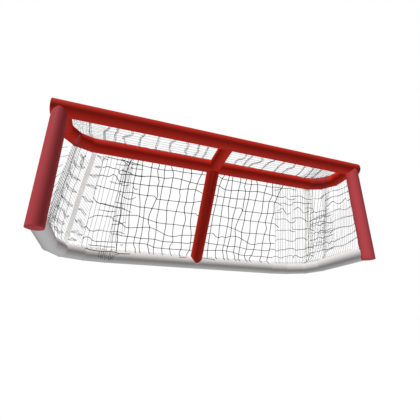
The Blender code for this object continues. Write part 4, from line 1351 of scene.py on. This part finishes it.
level_rows = []
z = 0.110
while z < 0.640:
    pts = []
    for i in range(25):
        k = SEAM + 0.02 + (POST - SEAM - 0.04) * i / 24
        h = head_of(k)
        if h.z > z + 0.004:
            pts.append(hang(-1.0, k, (h.z - z - 0.004 * math.sin(k * 5.0 + z * 60)) / (h.z - NET_FOOT)))
    if len(pts) > 4:
        level_rows.append(smooth(pts, 0.012))
    z += 0.028
hatched, hatched_thin = [], []
hatch(hatched, BAND_LINE, [(x - 0.6, y) for x, y in SEAM_LINE], 142.0, 240.0, 2.6, 1.6)
hatch(hatched_thin, BAND_LINE, [(x - 0.2, y) for x, y in SEAM_LINE], 143.3, 240.0, 2.6, 1.6)
hatch(fine[-1.0], SEAM_LINE, TAPE_LINE, 145.5, 240.0, 2.8, 1.45)
hatch(fine[-1.0], TAPE_LINE, EDGE_LINE, 150.5, 243.0, 2.8, 1.35)
fine[-1.0].append(smooth(cast(HANG, EDGE_LINE), 0.012))


def soft_line(text, view=PLAIN):
    line = smooth(cast(HANG, read(view, text)), 0.012)
    if len(line) > 3:
        soft_rows[-1.0].append(line)


# soft folds of the left corner and of the wing beside the webbing
for text in ("80.4,154 83.2,157.6 86,155.4", "74,160.4 75.1,164.6 77.5,166.7 81.1,167 85.3,167.7", "83.2,156.8 82.8,159.6 81.1,163.2 81.1,166.7",
             "69.8,172.3 71.9,175.8 76.1,178.2 80.4,180.7", "66.3,183.5 68.4,187.7 71.9,190.2 76.8,192.3", "61.4,195.4 64.2,198.9 67.7,203.2 72.6,206",
             "57.2,205.6 59.8,208.6 63.8,210.8 64.5,214.4 66,216.6 68.9,215.9", "53.5,215.9 56.5,219.6 60.9,222.5 64.5,224",
             "54.3,226.2 57.9,231.3 63.1,232.8", "97.2,155.4 102.1,158.2 107.7,159.6", "95.1,166.7 97.9,167 101.4,167", "89.8,174.7 93.7,175.8 99.3,175.4",
             "85.6,184.6 88.8,185.3 93,186.7 97.2,189", "81.8,196.1 84.2,197.2 86,200 90.2,201 93.3,202.1", "77.9,209.1 81,209.5 83.2,212.3 86,215.1",
             "75.1,219.3 76.8,221.8 79.6,220.4 81,224.2 83.2,227.7 86,226", "70.9,231.9 73.3,231.9 76.8,232.3 79,234.4 82.5,235.1",
             "68.4,239.6 72.6,239.3 76.8,240.4"):
    soft_line(text)

# crumpled part of the right corner: a loose diamond mesh
n = 0
yy = 214.0
while yy < 254.0:
    pts = [(309.5 + 2.2 * i, yy - 0.24 * 2.2 * i + 1.1 * noise.noise(Vector((i * 0.9, yy * 0.37, 3.3))) * 2) for i in range(9 + int(4 * abs(math.sin(yy))))]
    line = smooth(cast(HANG, pts), 0.010)
    if len(line) > 3:
        fine[1.0].append(line)
        if n % 2 == 0:
            grey[1.0].append(line)
    yy += 3.3
    n += 1
for i in range(10):
    x0 = 311.0 + 2.6 * i
    pts = [(x0 + 1.6 * noise.noise(Vector((i * 1.7, j * 0.8, 9.1))) * 2 - 0.05 * j, 214.0 + 3.1 * j) for j in range(12)]
    line = smooth(cast(HANG, pts), 0.010)
    if len(line) > 3:
        fine[1.0].append(line)

for side, s in SIDE.items():
    pale, mid = Yarn(), Yarn()
    for line in thin[s]:
        pale.strand(line, THIN_R, sides=5)
    grey[s] = [line for line in grey[s] if len(line) > 2]
    for n, line in enumerate(grey[s]):
        bundle(mid, line, 3, 0.0040, 0.00085, n + 7 * s)
    for n, line in enumerate(soft_rows[s]):
        bundle(mid, line, 8, 0.0125, 0.00054, n + 3 * s, wander=42.0)
    for line in fine[s]:
        mid.strand(line, 0.00058 if s > 0 else 0.00074, sides=4)
    for line in hatched if s < 0 else ():
        mid.strand(line, 0.00165, sides=6)
    ties(mid, grey[s], thin[s], 0.0021, reach=0.007)
    for line in fan if s > 0 else ():
        pale.strand(line, 0.00076, sides=5)
    if s < 0:
        level = Yarn()
        for line in level_rows:
            level.strand(line, 0.00036, sides=4)
        level.build("net_level_strands", PALE_TWINE, "twine")
        for line in hatched_thin:
            mid.strand(line, 0.00085, sides=5)
    pale.build("net_uprights_" + side, TWINE, "twine", ("net_side_" + side,))
    mid.build("net_rows_" + side, TWINE, "twine", ("net_wing_" + side, "net_corner_" + side))

# ------------------------------------------------------------------------------------------------ top of the net
lid_dark, lid_thin = Yarn(), Yarn()
depth_lines = []
for n, (view, text) in enumerate(TOP_STRANDS):
    pts = cast(LID, read(view, text))
    pts = [p for p in pts if p.y > FRONT + 0.05 and p.y < FRONT + top_rear(p.x) - 0.006]
    if len(pts) < 2:
        continue
    pts.sort(key=lambda p: p.y)
    first, last = pts[0], pts[-1]
    lead = lid(first.x + 0.004 * math.sin(n * 2.1), 0.043)
    tail = lid(last.x + 0.003 * math.sin(n * 1.3), top_rear(last.x))
    lines = [[lead] + pts + [tail]]
    depth_lines.append(lines[0])
for n, line in enumerate(depth_lines):
    bundle(lid_dark, smooth(line, 0.012), 6, 0.0068, 0.00070, 31 + n, fade=False, level=True)
cross_lines = []
d = 0.0560
while d < SHELF_D - 0.010:
    w = top_edge(d) - 0.004
    pts = []
    n = int(2 * w / 0.028)
    for i in range(n + 1):
        x = -w + 2 * w * i / n
        swing = 0.0042 * noise.noise(Vector((x * 17.0, d * 31.0, 3.0))) * 2 + 0.0022 * math.sin(x * 105.0 + d * 40)
        pts.append(lid(x, d + swing))
    cross_lines.append(smooth(pts, 0.014))
    d += 0.026
for line in cross_lines:
    lid_thin.strand(line, 0.00082, sides=5)
ends = []
for s in (-1.0, 1.0):
    n = 0
    x = 0.735 if s > 0 else 0.826
    while x < 0.935:
        rear = top_rear(x) - 0.003
        pts = []
        m = 12
        for i in range(m + 1):
            dd = 0.045 + (rear - 0.045) * i / m
            swing = 0.010 * noise.noise(Vector((dd * 26.0, x * 40.0 * s, 8.0)))
            pts.append(lid(s * (min(x + swing, top_edge(dd) - 0.003)), dd))
        ends.append(smooth(pts, 0.012))
        x += 0.0165
        n += 1
    dd = 0.069
    while dd < SHELF_D - 0.012:
        w = top_edge(dd) - 0.004
        pts = []
        x0 = 0.70 + 0.03 * noise.noise(Vector((dd * 90, s, 1)))
        for i in range(11):
            x = x0 + (w - x0) * i / 10
            pts.append(lid(s * x, dd + 0.009 * noise.noise(Vector((x * 34.0 * s, dd * 60.0, 5.0)))))
        ends.append(smooth(pts, 0.012))
        dd += 0.026
for line in ends:
    lid_thin.strand(line, 0.00078, sides=5)
lid_dark.build("net_top_cords", TWINE, "twine", ("net_top",))
lid_thin.build("net_top_mesh", TWINE, "twine")

# ------------------------------------------------------------------------------------------------ edges and seams
edge = Yarn()
hem_line = [hem_point(-1.0, 7.0 - i * 0.25, -0.013) for i in range(25)]
hem_line += [hem_point(-1.0, 1.0 - i / 16, -0.013) for i in range(1, 17)] + [hem_point(1.0, i / 16, -0.013) for i in range(1, 17)]
hem_line += [hem_point(1.0, 1.0 + i * 0.25, -0.013) for i in range(1, 25)]
edge.strand(smooth(hem_line, 0.012), 0.0017, sides=6)
rim = [lid(x * 1.0, d) for x, d in ([(-0.950, 0.0440)] + [(-0.944, 0.164), (-0.879, 0.240), (-0.793, SHELF_D - 0.001)])]
rim += [lid(x / 10, SHELF_D - 0.001) for x in range(-7, 8)]
rim += [lid(x, d) for x, d in ((0.793, SHELF_D - 0.001), (0.879, 0.240), (0.944, 0.164), (0.950, 0.0440))]
edge.strand(smooth([p + Z * 0.0012 for p in rim], 0.014), 0.0023, sides=7)
front = [lid(-0.950 + 1.9 * i / 76, 0.0435 + 0.0008 * math.sin(i * 1.3)) for i in range(77)]
edge.strand(smooth([p + Z * 0.0008 for p in front], 0.014), 0.0023, sides=7)
for s in (-1.0, 1.0):
    edge.strand(smooth([hang(s, 7.0, i / 14) for i in range(15)] + [hem_point(s, 7.0)], 0.012), 0.0010, sides=6)
edge.build("net_edge_cords", TWINE, "twine")

# seams between the corner and the side panels: two cords side by side, lashed together
seam = Yarn()
SEAM_RIGHT = [(326.8, 178.7), (326.8, 187.8), (327.1, 193.1), (326.5, 199.8), (325.8, 207.9), (326.0, 214.6), (325.1, 223.9),
              (324.9, 232.0), (325.1, 238.7), (324.6, 245.4), (324.2, 255.5)]
for s, line in ((-1.0, SEAM_LINE), (1.0, SEAM_RIGHT)):
    lanes = []
    for m, off in enumerate((-2.0, -1.1, 0.0, 1.0, 1.9) if s < 0 else (-1.3, -0.45, 0.45, 1.3)):
        top, low = max(line[0][1], 146.0 if s < 0 else 186.0), line[-1][1]
        pts = []
        for i in range(19):
            yy = top + (low - top) * i / 18
            pts.append((mark(line, yy) + off + 0.25 * noise.noise(Vector((yy * 0.35, m * 3.3, s))), yy))
        hit = cast(HANG, pts)
        hit = down_to_hem(hit)
        k = 4.86 + 0.03 * m
        if m == 1:
            hit = head_wrap(s, k)[::-1] + [hang(s, k, 0.02)] + hit
        lanes.append(smooth(hit, 0.011))
    for lane in lanes:
        seam.strand(lane, 0.00044 if s < 0 else 0.00074, sides=5)
    a, b = np.array(lanes[0]), np.array(lanes[-1])
    n = 90
    pts = []
    for i in range(n + 1):
        f = 0.12 + 0.86 * i / n
        p, q = a[int(f * (len(a) - 1))], b[int(f * (len(b) - 1))]
        pts.append(Vector(p if i % 2 else q))
    seam.strand(smooth(pts, 0.006), 0.00045, sides=5)
seam.build("net_seams", TWINE, "twine")

# ------------------------------------------------------------------------------------------------ webbing
STRAPS, FACING = [], {}
# a flat strap sewn down the seam between wing and corner, on the inner side of the net
for side, s in SIDE.items():
    n, wide = 60, 0.0148
    places = [(TAPE - 0.11 - 0.085 * i / n if s < 0 else TAPE + 0.10, -0.008 + 1.0 * i / n) for i in range(n + 1)]
    centre = [hang(s, k, v, 0.0) for k, v in places]
    rings, run, runs = [], 0.0, []
    section = ((-1.0, 0.0), (-0.97, 0.6), (-0.7, 0.8), (-0.35, 0.85), (0.0, 0.85), (0.35, 0.85), (0.7, 0.8), (0.97, 0.6),
               (1.0, 0.0), (0.97, -0.6), (0.5, -0.8), (0.0, -0.8), (-0.5, -0.8), (-0.97, -0.6))
    for i, p in enumerate(centre):
        a, b = centre[max(i - 1, 0)], centre[min(i + 1, n)]
        down = (b - a).normalized()
        k, v = places[i]
        al = (hang(s, k + 0.12, v, 0.0) - hang(s, k - 0.12, v, 0.0)).normalized()
        al = (al - down * al.dot(down)).normalized()
        nn = al.cross(down).normalized()
        if nn.y > 0:
            nn = -nn
        run += (p - centre[i - 1]).length if i else 0.0
        runs.append(run)
        FACING[side] = FACING.get(side, Vector()) + nn
        q = p + nn * (0.0072 if s < 0 else -0.0030)
        cup = 0.0007 * math.sin(run * 31.0)
        rings.append([q + al * w * wide + nn * (h * 0.0010 + cup * w) for w, h in section])
    bm = bmesh.new()
    layer = bm.loops.layers.uv.new("along")
    grid = [[bm.verts.new(p) for p in ring] for ring in rings]
    m = len(section)
    us = [(w + 1.0) * wide for w, h in section]
    for i in range(n):
        for j in range(m):
            k = (j + 1) % m
            f = bm.faces.new((grid[i][j], grid[i][k], grid[i + 1][k], grid[i + 1][j]))
            for loop, uv in zip(f.loops, ((us[j], runs[i]), (us[k], runs[i]), (us[k], runs[i + 1]), (us[j], runs[i + 1]))):
                loop[layer].uv = uv
    bm.faces.new(grid[0][::-1])
    bm.faces.new(grid[-1])
    strap = add(bm, "net_webbing_" + side, WEBBING, ("net_tape_" + side,), smooth_angle=50)
    # two rows of stitches and, on the right, dark strands that pass in front of the strap
    sewn = Yarn()
    for w in (-0.72, 0.72):
        for i in range(1, n - 1):
            a, b = rings[i][4], rings[i + 1][4]
            across = (rings[i][8] - rings[i][0]).normalized()
            up = (rings[i][4] - rings[i][11]).normalized() * (1.0 if s < 0 else -1.0)
            p, q = a.lerp(b, 0.1) + across * w * wide, a.lerp(b, 0.75) + across * w * wide
            sewn.strand([p - up * 0.0006, p + up * 0.0003, q + up * 0.0003, q - up * 0.0006], 0.00035, sides=5)
    sewn.build("webbing_stitches_" + side, WEBBING, "webbing")
    STRAPS.append(strap)
    STRAPS.append(bpy.data.objects["webbing_stitches_" + side])
front_yarn = Yarn()
for n, px in enumerate((305.6, 308.0, 310.4, 312.6)):
    pts = [(px - 0.2 * i / 10 + 0.35 * math.sin(n * 2.3 + i * 0.8), 190.0 + 7.35 * i) for i in range(11)]
    hit = [p - ray(*q) * 0.0125 for p, q in zip(cast(HANG, pts), pts)]
    k = 3.0 + 0.1 * n
    front_yarn.strand(smooth([hang(1.0, k, 0.0)] + hit + [hem_point(1.0, 2.8 + 0.12 * n)], 0.012), 0.00105, sides=5)
front_yarn.build("net_front_strands", TWINE, "twine")

# thin pale gauze over the left elbow, where the corner net comes up
gauze = Yarn()
turns = Yarn()
for n, k in enumerate(arc_stations(3.02, 4.98, 0.0135)):
    turns.strand(wavy(head_wrap(1.0, k, 9), 0.0006, 0.05, 300 + n), 0.00085, sides=5)
turns.build("net_head_turns", TWINE, "twine")
verts, faces = [], []
for name in ("shelf_corner_left_1", "shelf_corner_left_2", "shelf_side_left"):
    me = bpy.data.objects[name + "_finish"].data
    base = len(verts)
    verts += [v.co.copy() for v in me.vertices]
    faces += [tuple(base + i for i in p.vertices) for p in me.polygons]
ELBOW = BVHTree.FromPolygons(verts, faces)
for i in range(7):
    a, b = Vector((79.9, 134.6)), Vector((73.2, 142.4)).lerp(Vector((78.2, 146.4)), i / 6)
    pts = []
    for j in range(7):
        q = a.lerp(b, j / 6)
        p, nn = ELBOW.ray_cast(CAM_AT, ray(q.x, q.y))[:2]
        if p is not None:
            pts.append(p + (nn if nn.dot(ray(q.x, q.y)) < 0 else -nn) * 0.0022)
    if len(pts) > 2:
        gauze.strand(smooth(pts, 0.01), 0.00026, sides=5)
gauze.build("net_gauze", PALE_TWINE, "twine")

# ------------------------------------------------------------------------------------------------ lacing
lace, low_lace = Yarn(), Yarn()
for s in (-1.0, 1.0):
    # net and base: a cord wound round the rods behind the base tube
    for k0, k1 in ((0.12, 0.985), (1.03, 2.98), (3.02, 4.9), (4.95, 6.75)):
        pts = []
        for k in arc_stations(k0, k1, 0.036):
            x, d = between(F_X, k), between(F_D, k)
            m = between([Vector((m.x, m.y, 0)) for m in FOOT_N], k).normalized()
            c = at(x, d, BASE_Z + ROD_UP) + m * ROD_OUT
            lip = hang(1.0, k, 1.0)
            for p in (lip + Z * 0.0022, c + Z * 0.0056, c + m * 0.0054 + Z * 0.0012, c + m * 0.0012 - Z * 0.0052, c - m * 0.0052 + Z * 0.0022):
                pts.append(Vector((s * p.x, p.y, p.z)))
        if len(pts) > 4:
            low_lace.strand(smooth(pts, 0.0035), 0.0010, sides=5)
    # top panel and crossbar
    pts, i, x = [], 0, 0.075
    c = Vector((0, (0.0368 + 0.0435) / 2, (BAR_Z + 0.0368 + 0.7030) / 2))
    while x < 0.885:
        for a, r in ((40, 0.0092), (130, 0.0072), (220, 0.0092), (310, 0.0072)):
            w = math.radians(a)
            pts.append(at(s * (x + 0.036 * (a - 40) / 360), c.y + r * math.cos(w), c.z + r * math.sin(w)))
        x += 0.036
    lace.strand(smooth(pts, 0.0035), 0.0010, sides=5)
    # side panel and post
    pts, z, i = [], 0.112, 0
    while z < 0.578:
        e = hang(s, 7.0, (SIDE_P[2].z - z) / (SIDE_P[2].z - NET_FOOT))
        r = at(s * POST_X, 0.0490, z + 0.011)
        pts += [e + Y * 0.001, r + Y * 0.0050 + X * s * 0.002, r - X * s * 0.0052 - Y * 0.001, r - Y * 0.0030 + X * s * 0.0042]
        z += 0.040
    lace.strand(smooth(pts, 0.004), 0.00075, sides=5)
lace.build("net_lacing", TWINE, "twine")
low_lace.build("net_base_lacing", PALE_TWINE, "twine")

# loose ends that droop over the front of the base at the left
droop = Yarn()
verts, faces = [], []
for name in ("base_corner_left_3", "base_rear_bar", "base_corner_left_2"):
    me = bpy.data.objects[name + "_finish"].data
    base = len(verts)
    verts += [v.co.copy() for v in me.vertices]
    faces += [tuple(base + i for i in p.vertices) for p in me.polygons]
TUBE = BVHTree.FromPolygons(verts, faces)


def on_tube(points, lift):
    out = []
    for px, py in points:
        for _ in range(8):
            p, nn = TUBE.ray_cast(CAM_AT, ray(px, py))[:2]
            if p is not None:
                break
            py += 0.3
        if p is not None:
            out.append(p + (nn if nn.dot(ray(px, py)) < 0 else -nn) * lift)
    return out


for n, (x, y1, bend_, r) in enumerate(((99.2, 257.2, 0.35, 0.0012), (101.4, 258.6, 0.25, 0.0013), (103.2, 258.2, 0.45, 0.0014), (105.4, 259.4, -0.3, 0.0013),
                                       (107.2, 258.4, -0.25, 0.0012), (109.2, 259.6, 0.4, 0.0015), (111.0, 260.0, -0.45, 0.0015), (112.9, 259.4, 0.35, 0.0014),
                                       (115.0, 257.4, 0.5, 0.0011))):
    y0 = 251.9 + (x - 99.0) * 0.10
    pts = [(x - 0.9 * i / 6 + bend_ * math.sin(i / 6 * math.pi * 2.2), y0 + (y1 - y0) * i / 6) for i in range(7)]
    hit = on_tube(pts, r + 0.0003)
    if len(hit) > 2:
        s_, k = station_of(hit[0])
        start = hang(-1.0, k, 1.0)
        droop.strand(smooth([start, start.lerp(hit[0], 0.5) + Z * 0.004] + hit, 0.006), r, sides=6)
        droop.knot(hit[-1], hit[-1] - hit[-2], r * 1.5)
hook = on_tube([(114.6, 252.9), (115.8, 254.2), (117.2, 254.8), (118.8, 254.3)], 0.0016)
if len(hook) > 2:
    droop.strand(smooth(hook, 0.005), 0.0014, sides=6)
hem_end = [(84.5, 248.2), (89.5, 249.8), (95.0, 250.9), (101.0, 251.6), (108.0, 251.7), (115.1, 252.4), (118.7, 253.8), (125.0, 254.1), (131.6, 254.2)]
path = []
for (x0, y0), (x1, y1) in zip(hem_end, hem_end[1:]):
    path += [(x0 + (x1 - x0) * i / 5, y0 + (y1 - y0) * i / 5) for i in range(5)]
droop.strand(smooth(on_tube(path, 0.0030), 0.008), 0.0027, sides=6)
for part in ([(179.2, 257.4), (182.0, 257.5), (184.2, 257.4), (186.4, 257.6)], [(202.4, 258.2), (205.0, 258.5), (208.0, 259.0), (211.5, 259.5), (215.0, 260.2)]):
    droop.strand(smooth(on_tube(part, 0.0026), 0.008), 0.0021, sides=6)
droop.build("net_loose_ends", TWINE, "twine")

for o in scene.objects:
    if o.name.startswith("net_"):
        o.visible_shadow = False

# ------------------------------------------------------------------------------------------------ light, floor
world = bpy.data.worlds.new("studio")
scene.world = world
world.use_nodes = True
wt = world.node_tree
wt.nodes.clear()
path = wt.nodes.new("ShaderNodeLightPath")
seen = node(wt, "ShaderNodeBackground", Color=(1, 1, 1, 1), Strength=1.0)
ambient = node(wt, "ShaderNodeBackground", Color=(1, 1, 1, 1), Strength=0.187)
pick = wt.nodes.new("ShaderNodeMixShader")
sky = wt.nodes.new("ShaderNodeOutputWorld")
wt.links.new(path.outputs["Is Camera Ray"], pick.inputs["Fac"])
wt.links.new(ambient.outputs[0], pick.inputs[1])
wt.links.new(seen.outputs[0], pick.inputs[2])
wt.links.new(pick.outputs[0], sky.inputs["Surface"])

lamps = {}
for name, to_light, strength, angle in (("key", (-0.455, -0.327, 0.828), 3.09, 16.0), ("fill", (0.415, 0.289, -0.862), 1.165, 30.0),
                                        ("floor_key", (-0.455, -0.327, 0.828), 2.2, 24.0),
                                        ("strap_light", FACING["left"], 1.92, 40.0),
                                        ("strap_light_right", FACING["right"], 4.0, 40.0)):
    lamp = bpy.data.lights.new(name, "SUN")
    lamp.energy = strength
    lamp.angle = math.radians(angle)
    lamp.use_shadow = name == "floor_key"
    o = bpy.data.objects.new(name, lamp)
    o.rotation_mode = "QUATERNION"
    o.rotation_quaternion = Vector(to_light).to_track_quat("Z", "Y")
    scene.collection.objects.link(o)
    lamps[name] = o

bm = bmesh.new()
bmesh.ops.create_circle(bm, cap_ends=True, segments=96, radius=9.0)
me = bpy.data.meshes.new("floor")
bm.to_mesh(me)
bm.free()
floor = bpy.data.objects.new("floor", me)
floor.location = (0, 0, -0.0005)
scene.collection.objects.link(floor)
m, t, b = new_material("pale_floor")
b.inputs["Base Color"].default_value = (0.84, 0.845, 0.85, 1)
b.inputs["Roughness"].default_value = 0.75
b.inputs["Specular IOR Level"].default_value = 0.1
clear = t.nodes.new("ShaderNodeBsdfTransparent")
geo = t.nodes.new("ShaderNodeNewGeometry")
far = node(t, "ShaderNodeVectorMath", operation="LENGTH")
t.links.new(node(t, "ShaderNodeTexCoord").outputs["Object"], far.inputs[0])
fade = node(t, "ShaderNodeMapRange", interpolation_type="SMOOTHSTEP")
fade.inputs["From Min"].default_value, fade.inputs["From Max"].default_value = 1.6, 7.5
t.links.new(far.outputs["Value"], fade.inputs["Value"])
both = node(t, "ShaderNodeMath", operation="MAXIMUM")
t.links.new(geo.outputs["Backfacing"], both.inputs[0])
t.links.new(fade.outputs["Result"], both.inputs[1])
mix = t.nodes.new("ShaderNodeMixShader")
t.links.new(both.outputs[0], mix.inputs["Fac"])
t.links.new(b.outputs[0], mix.inputs[1])
t.links.new(clear.outputs[0], mix.inputs[2])
t.links.new(mix.outputs[0], t.nodes["Material Output"].inputs["Surface"])
me.materials.append(m)
floor.visible_shadow = False
floor.visible_diffuse = False
floor.visible_glossy = False
only_floor, but_floor = bpy.data.collections.new("only_floor"), bpy.data.collections.new("but_floor")
only_floor.objects.link(floor)
lamps["floor_key"].light_linking.receiver_collection = only_floor
but_floor.objects.link(floor)
lamps["key"].light_linking.receiver_collection = but_floor
but_floor.collection_objects[0].light_linking.link_state = "EXCLUDE"
# the straps face away from both lamps; a lamp of its own lifts each to the grey it has in the picture
for name, side in (("strap_light", "_left"), ("strap_light_right", "_right")):
    lit = bpy.data.collections.new(name)
    for o in STRAPS:
        if o.name.endswith(side):
            lit.objects.link(o)
    lamps[name].light_linking.receiver_collection = lit

scene.view_settings.view_transform = "Standard"
scene.view_settings.look = "None"
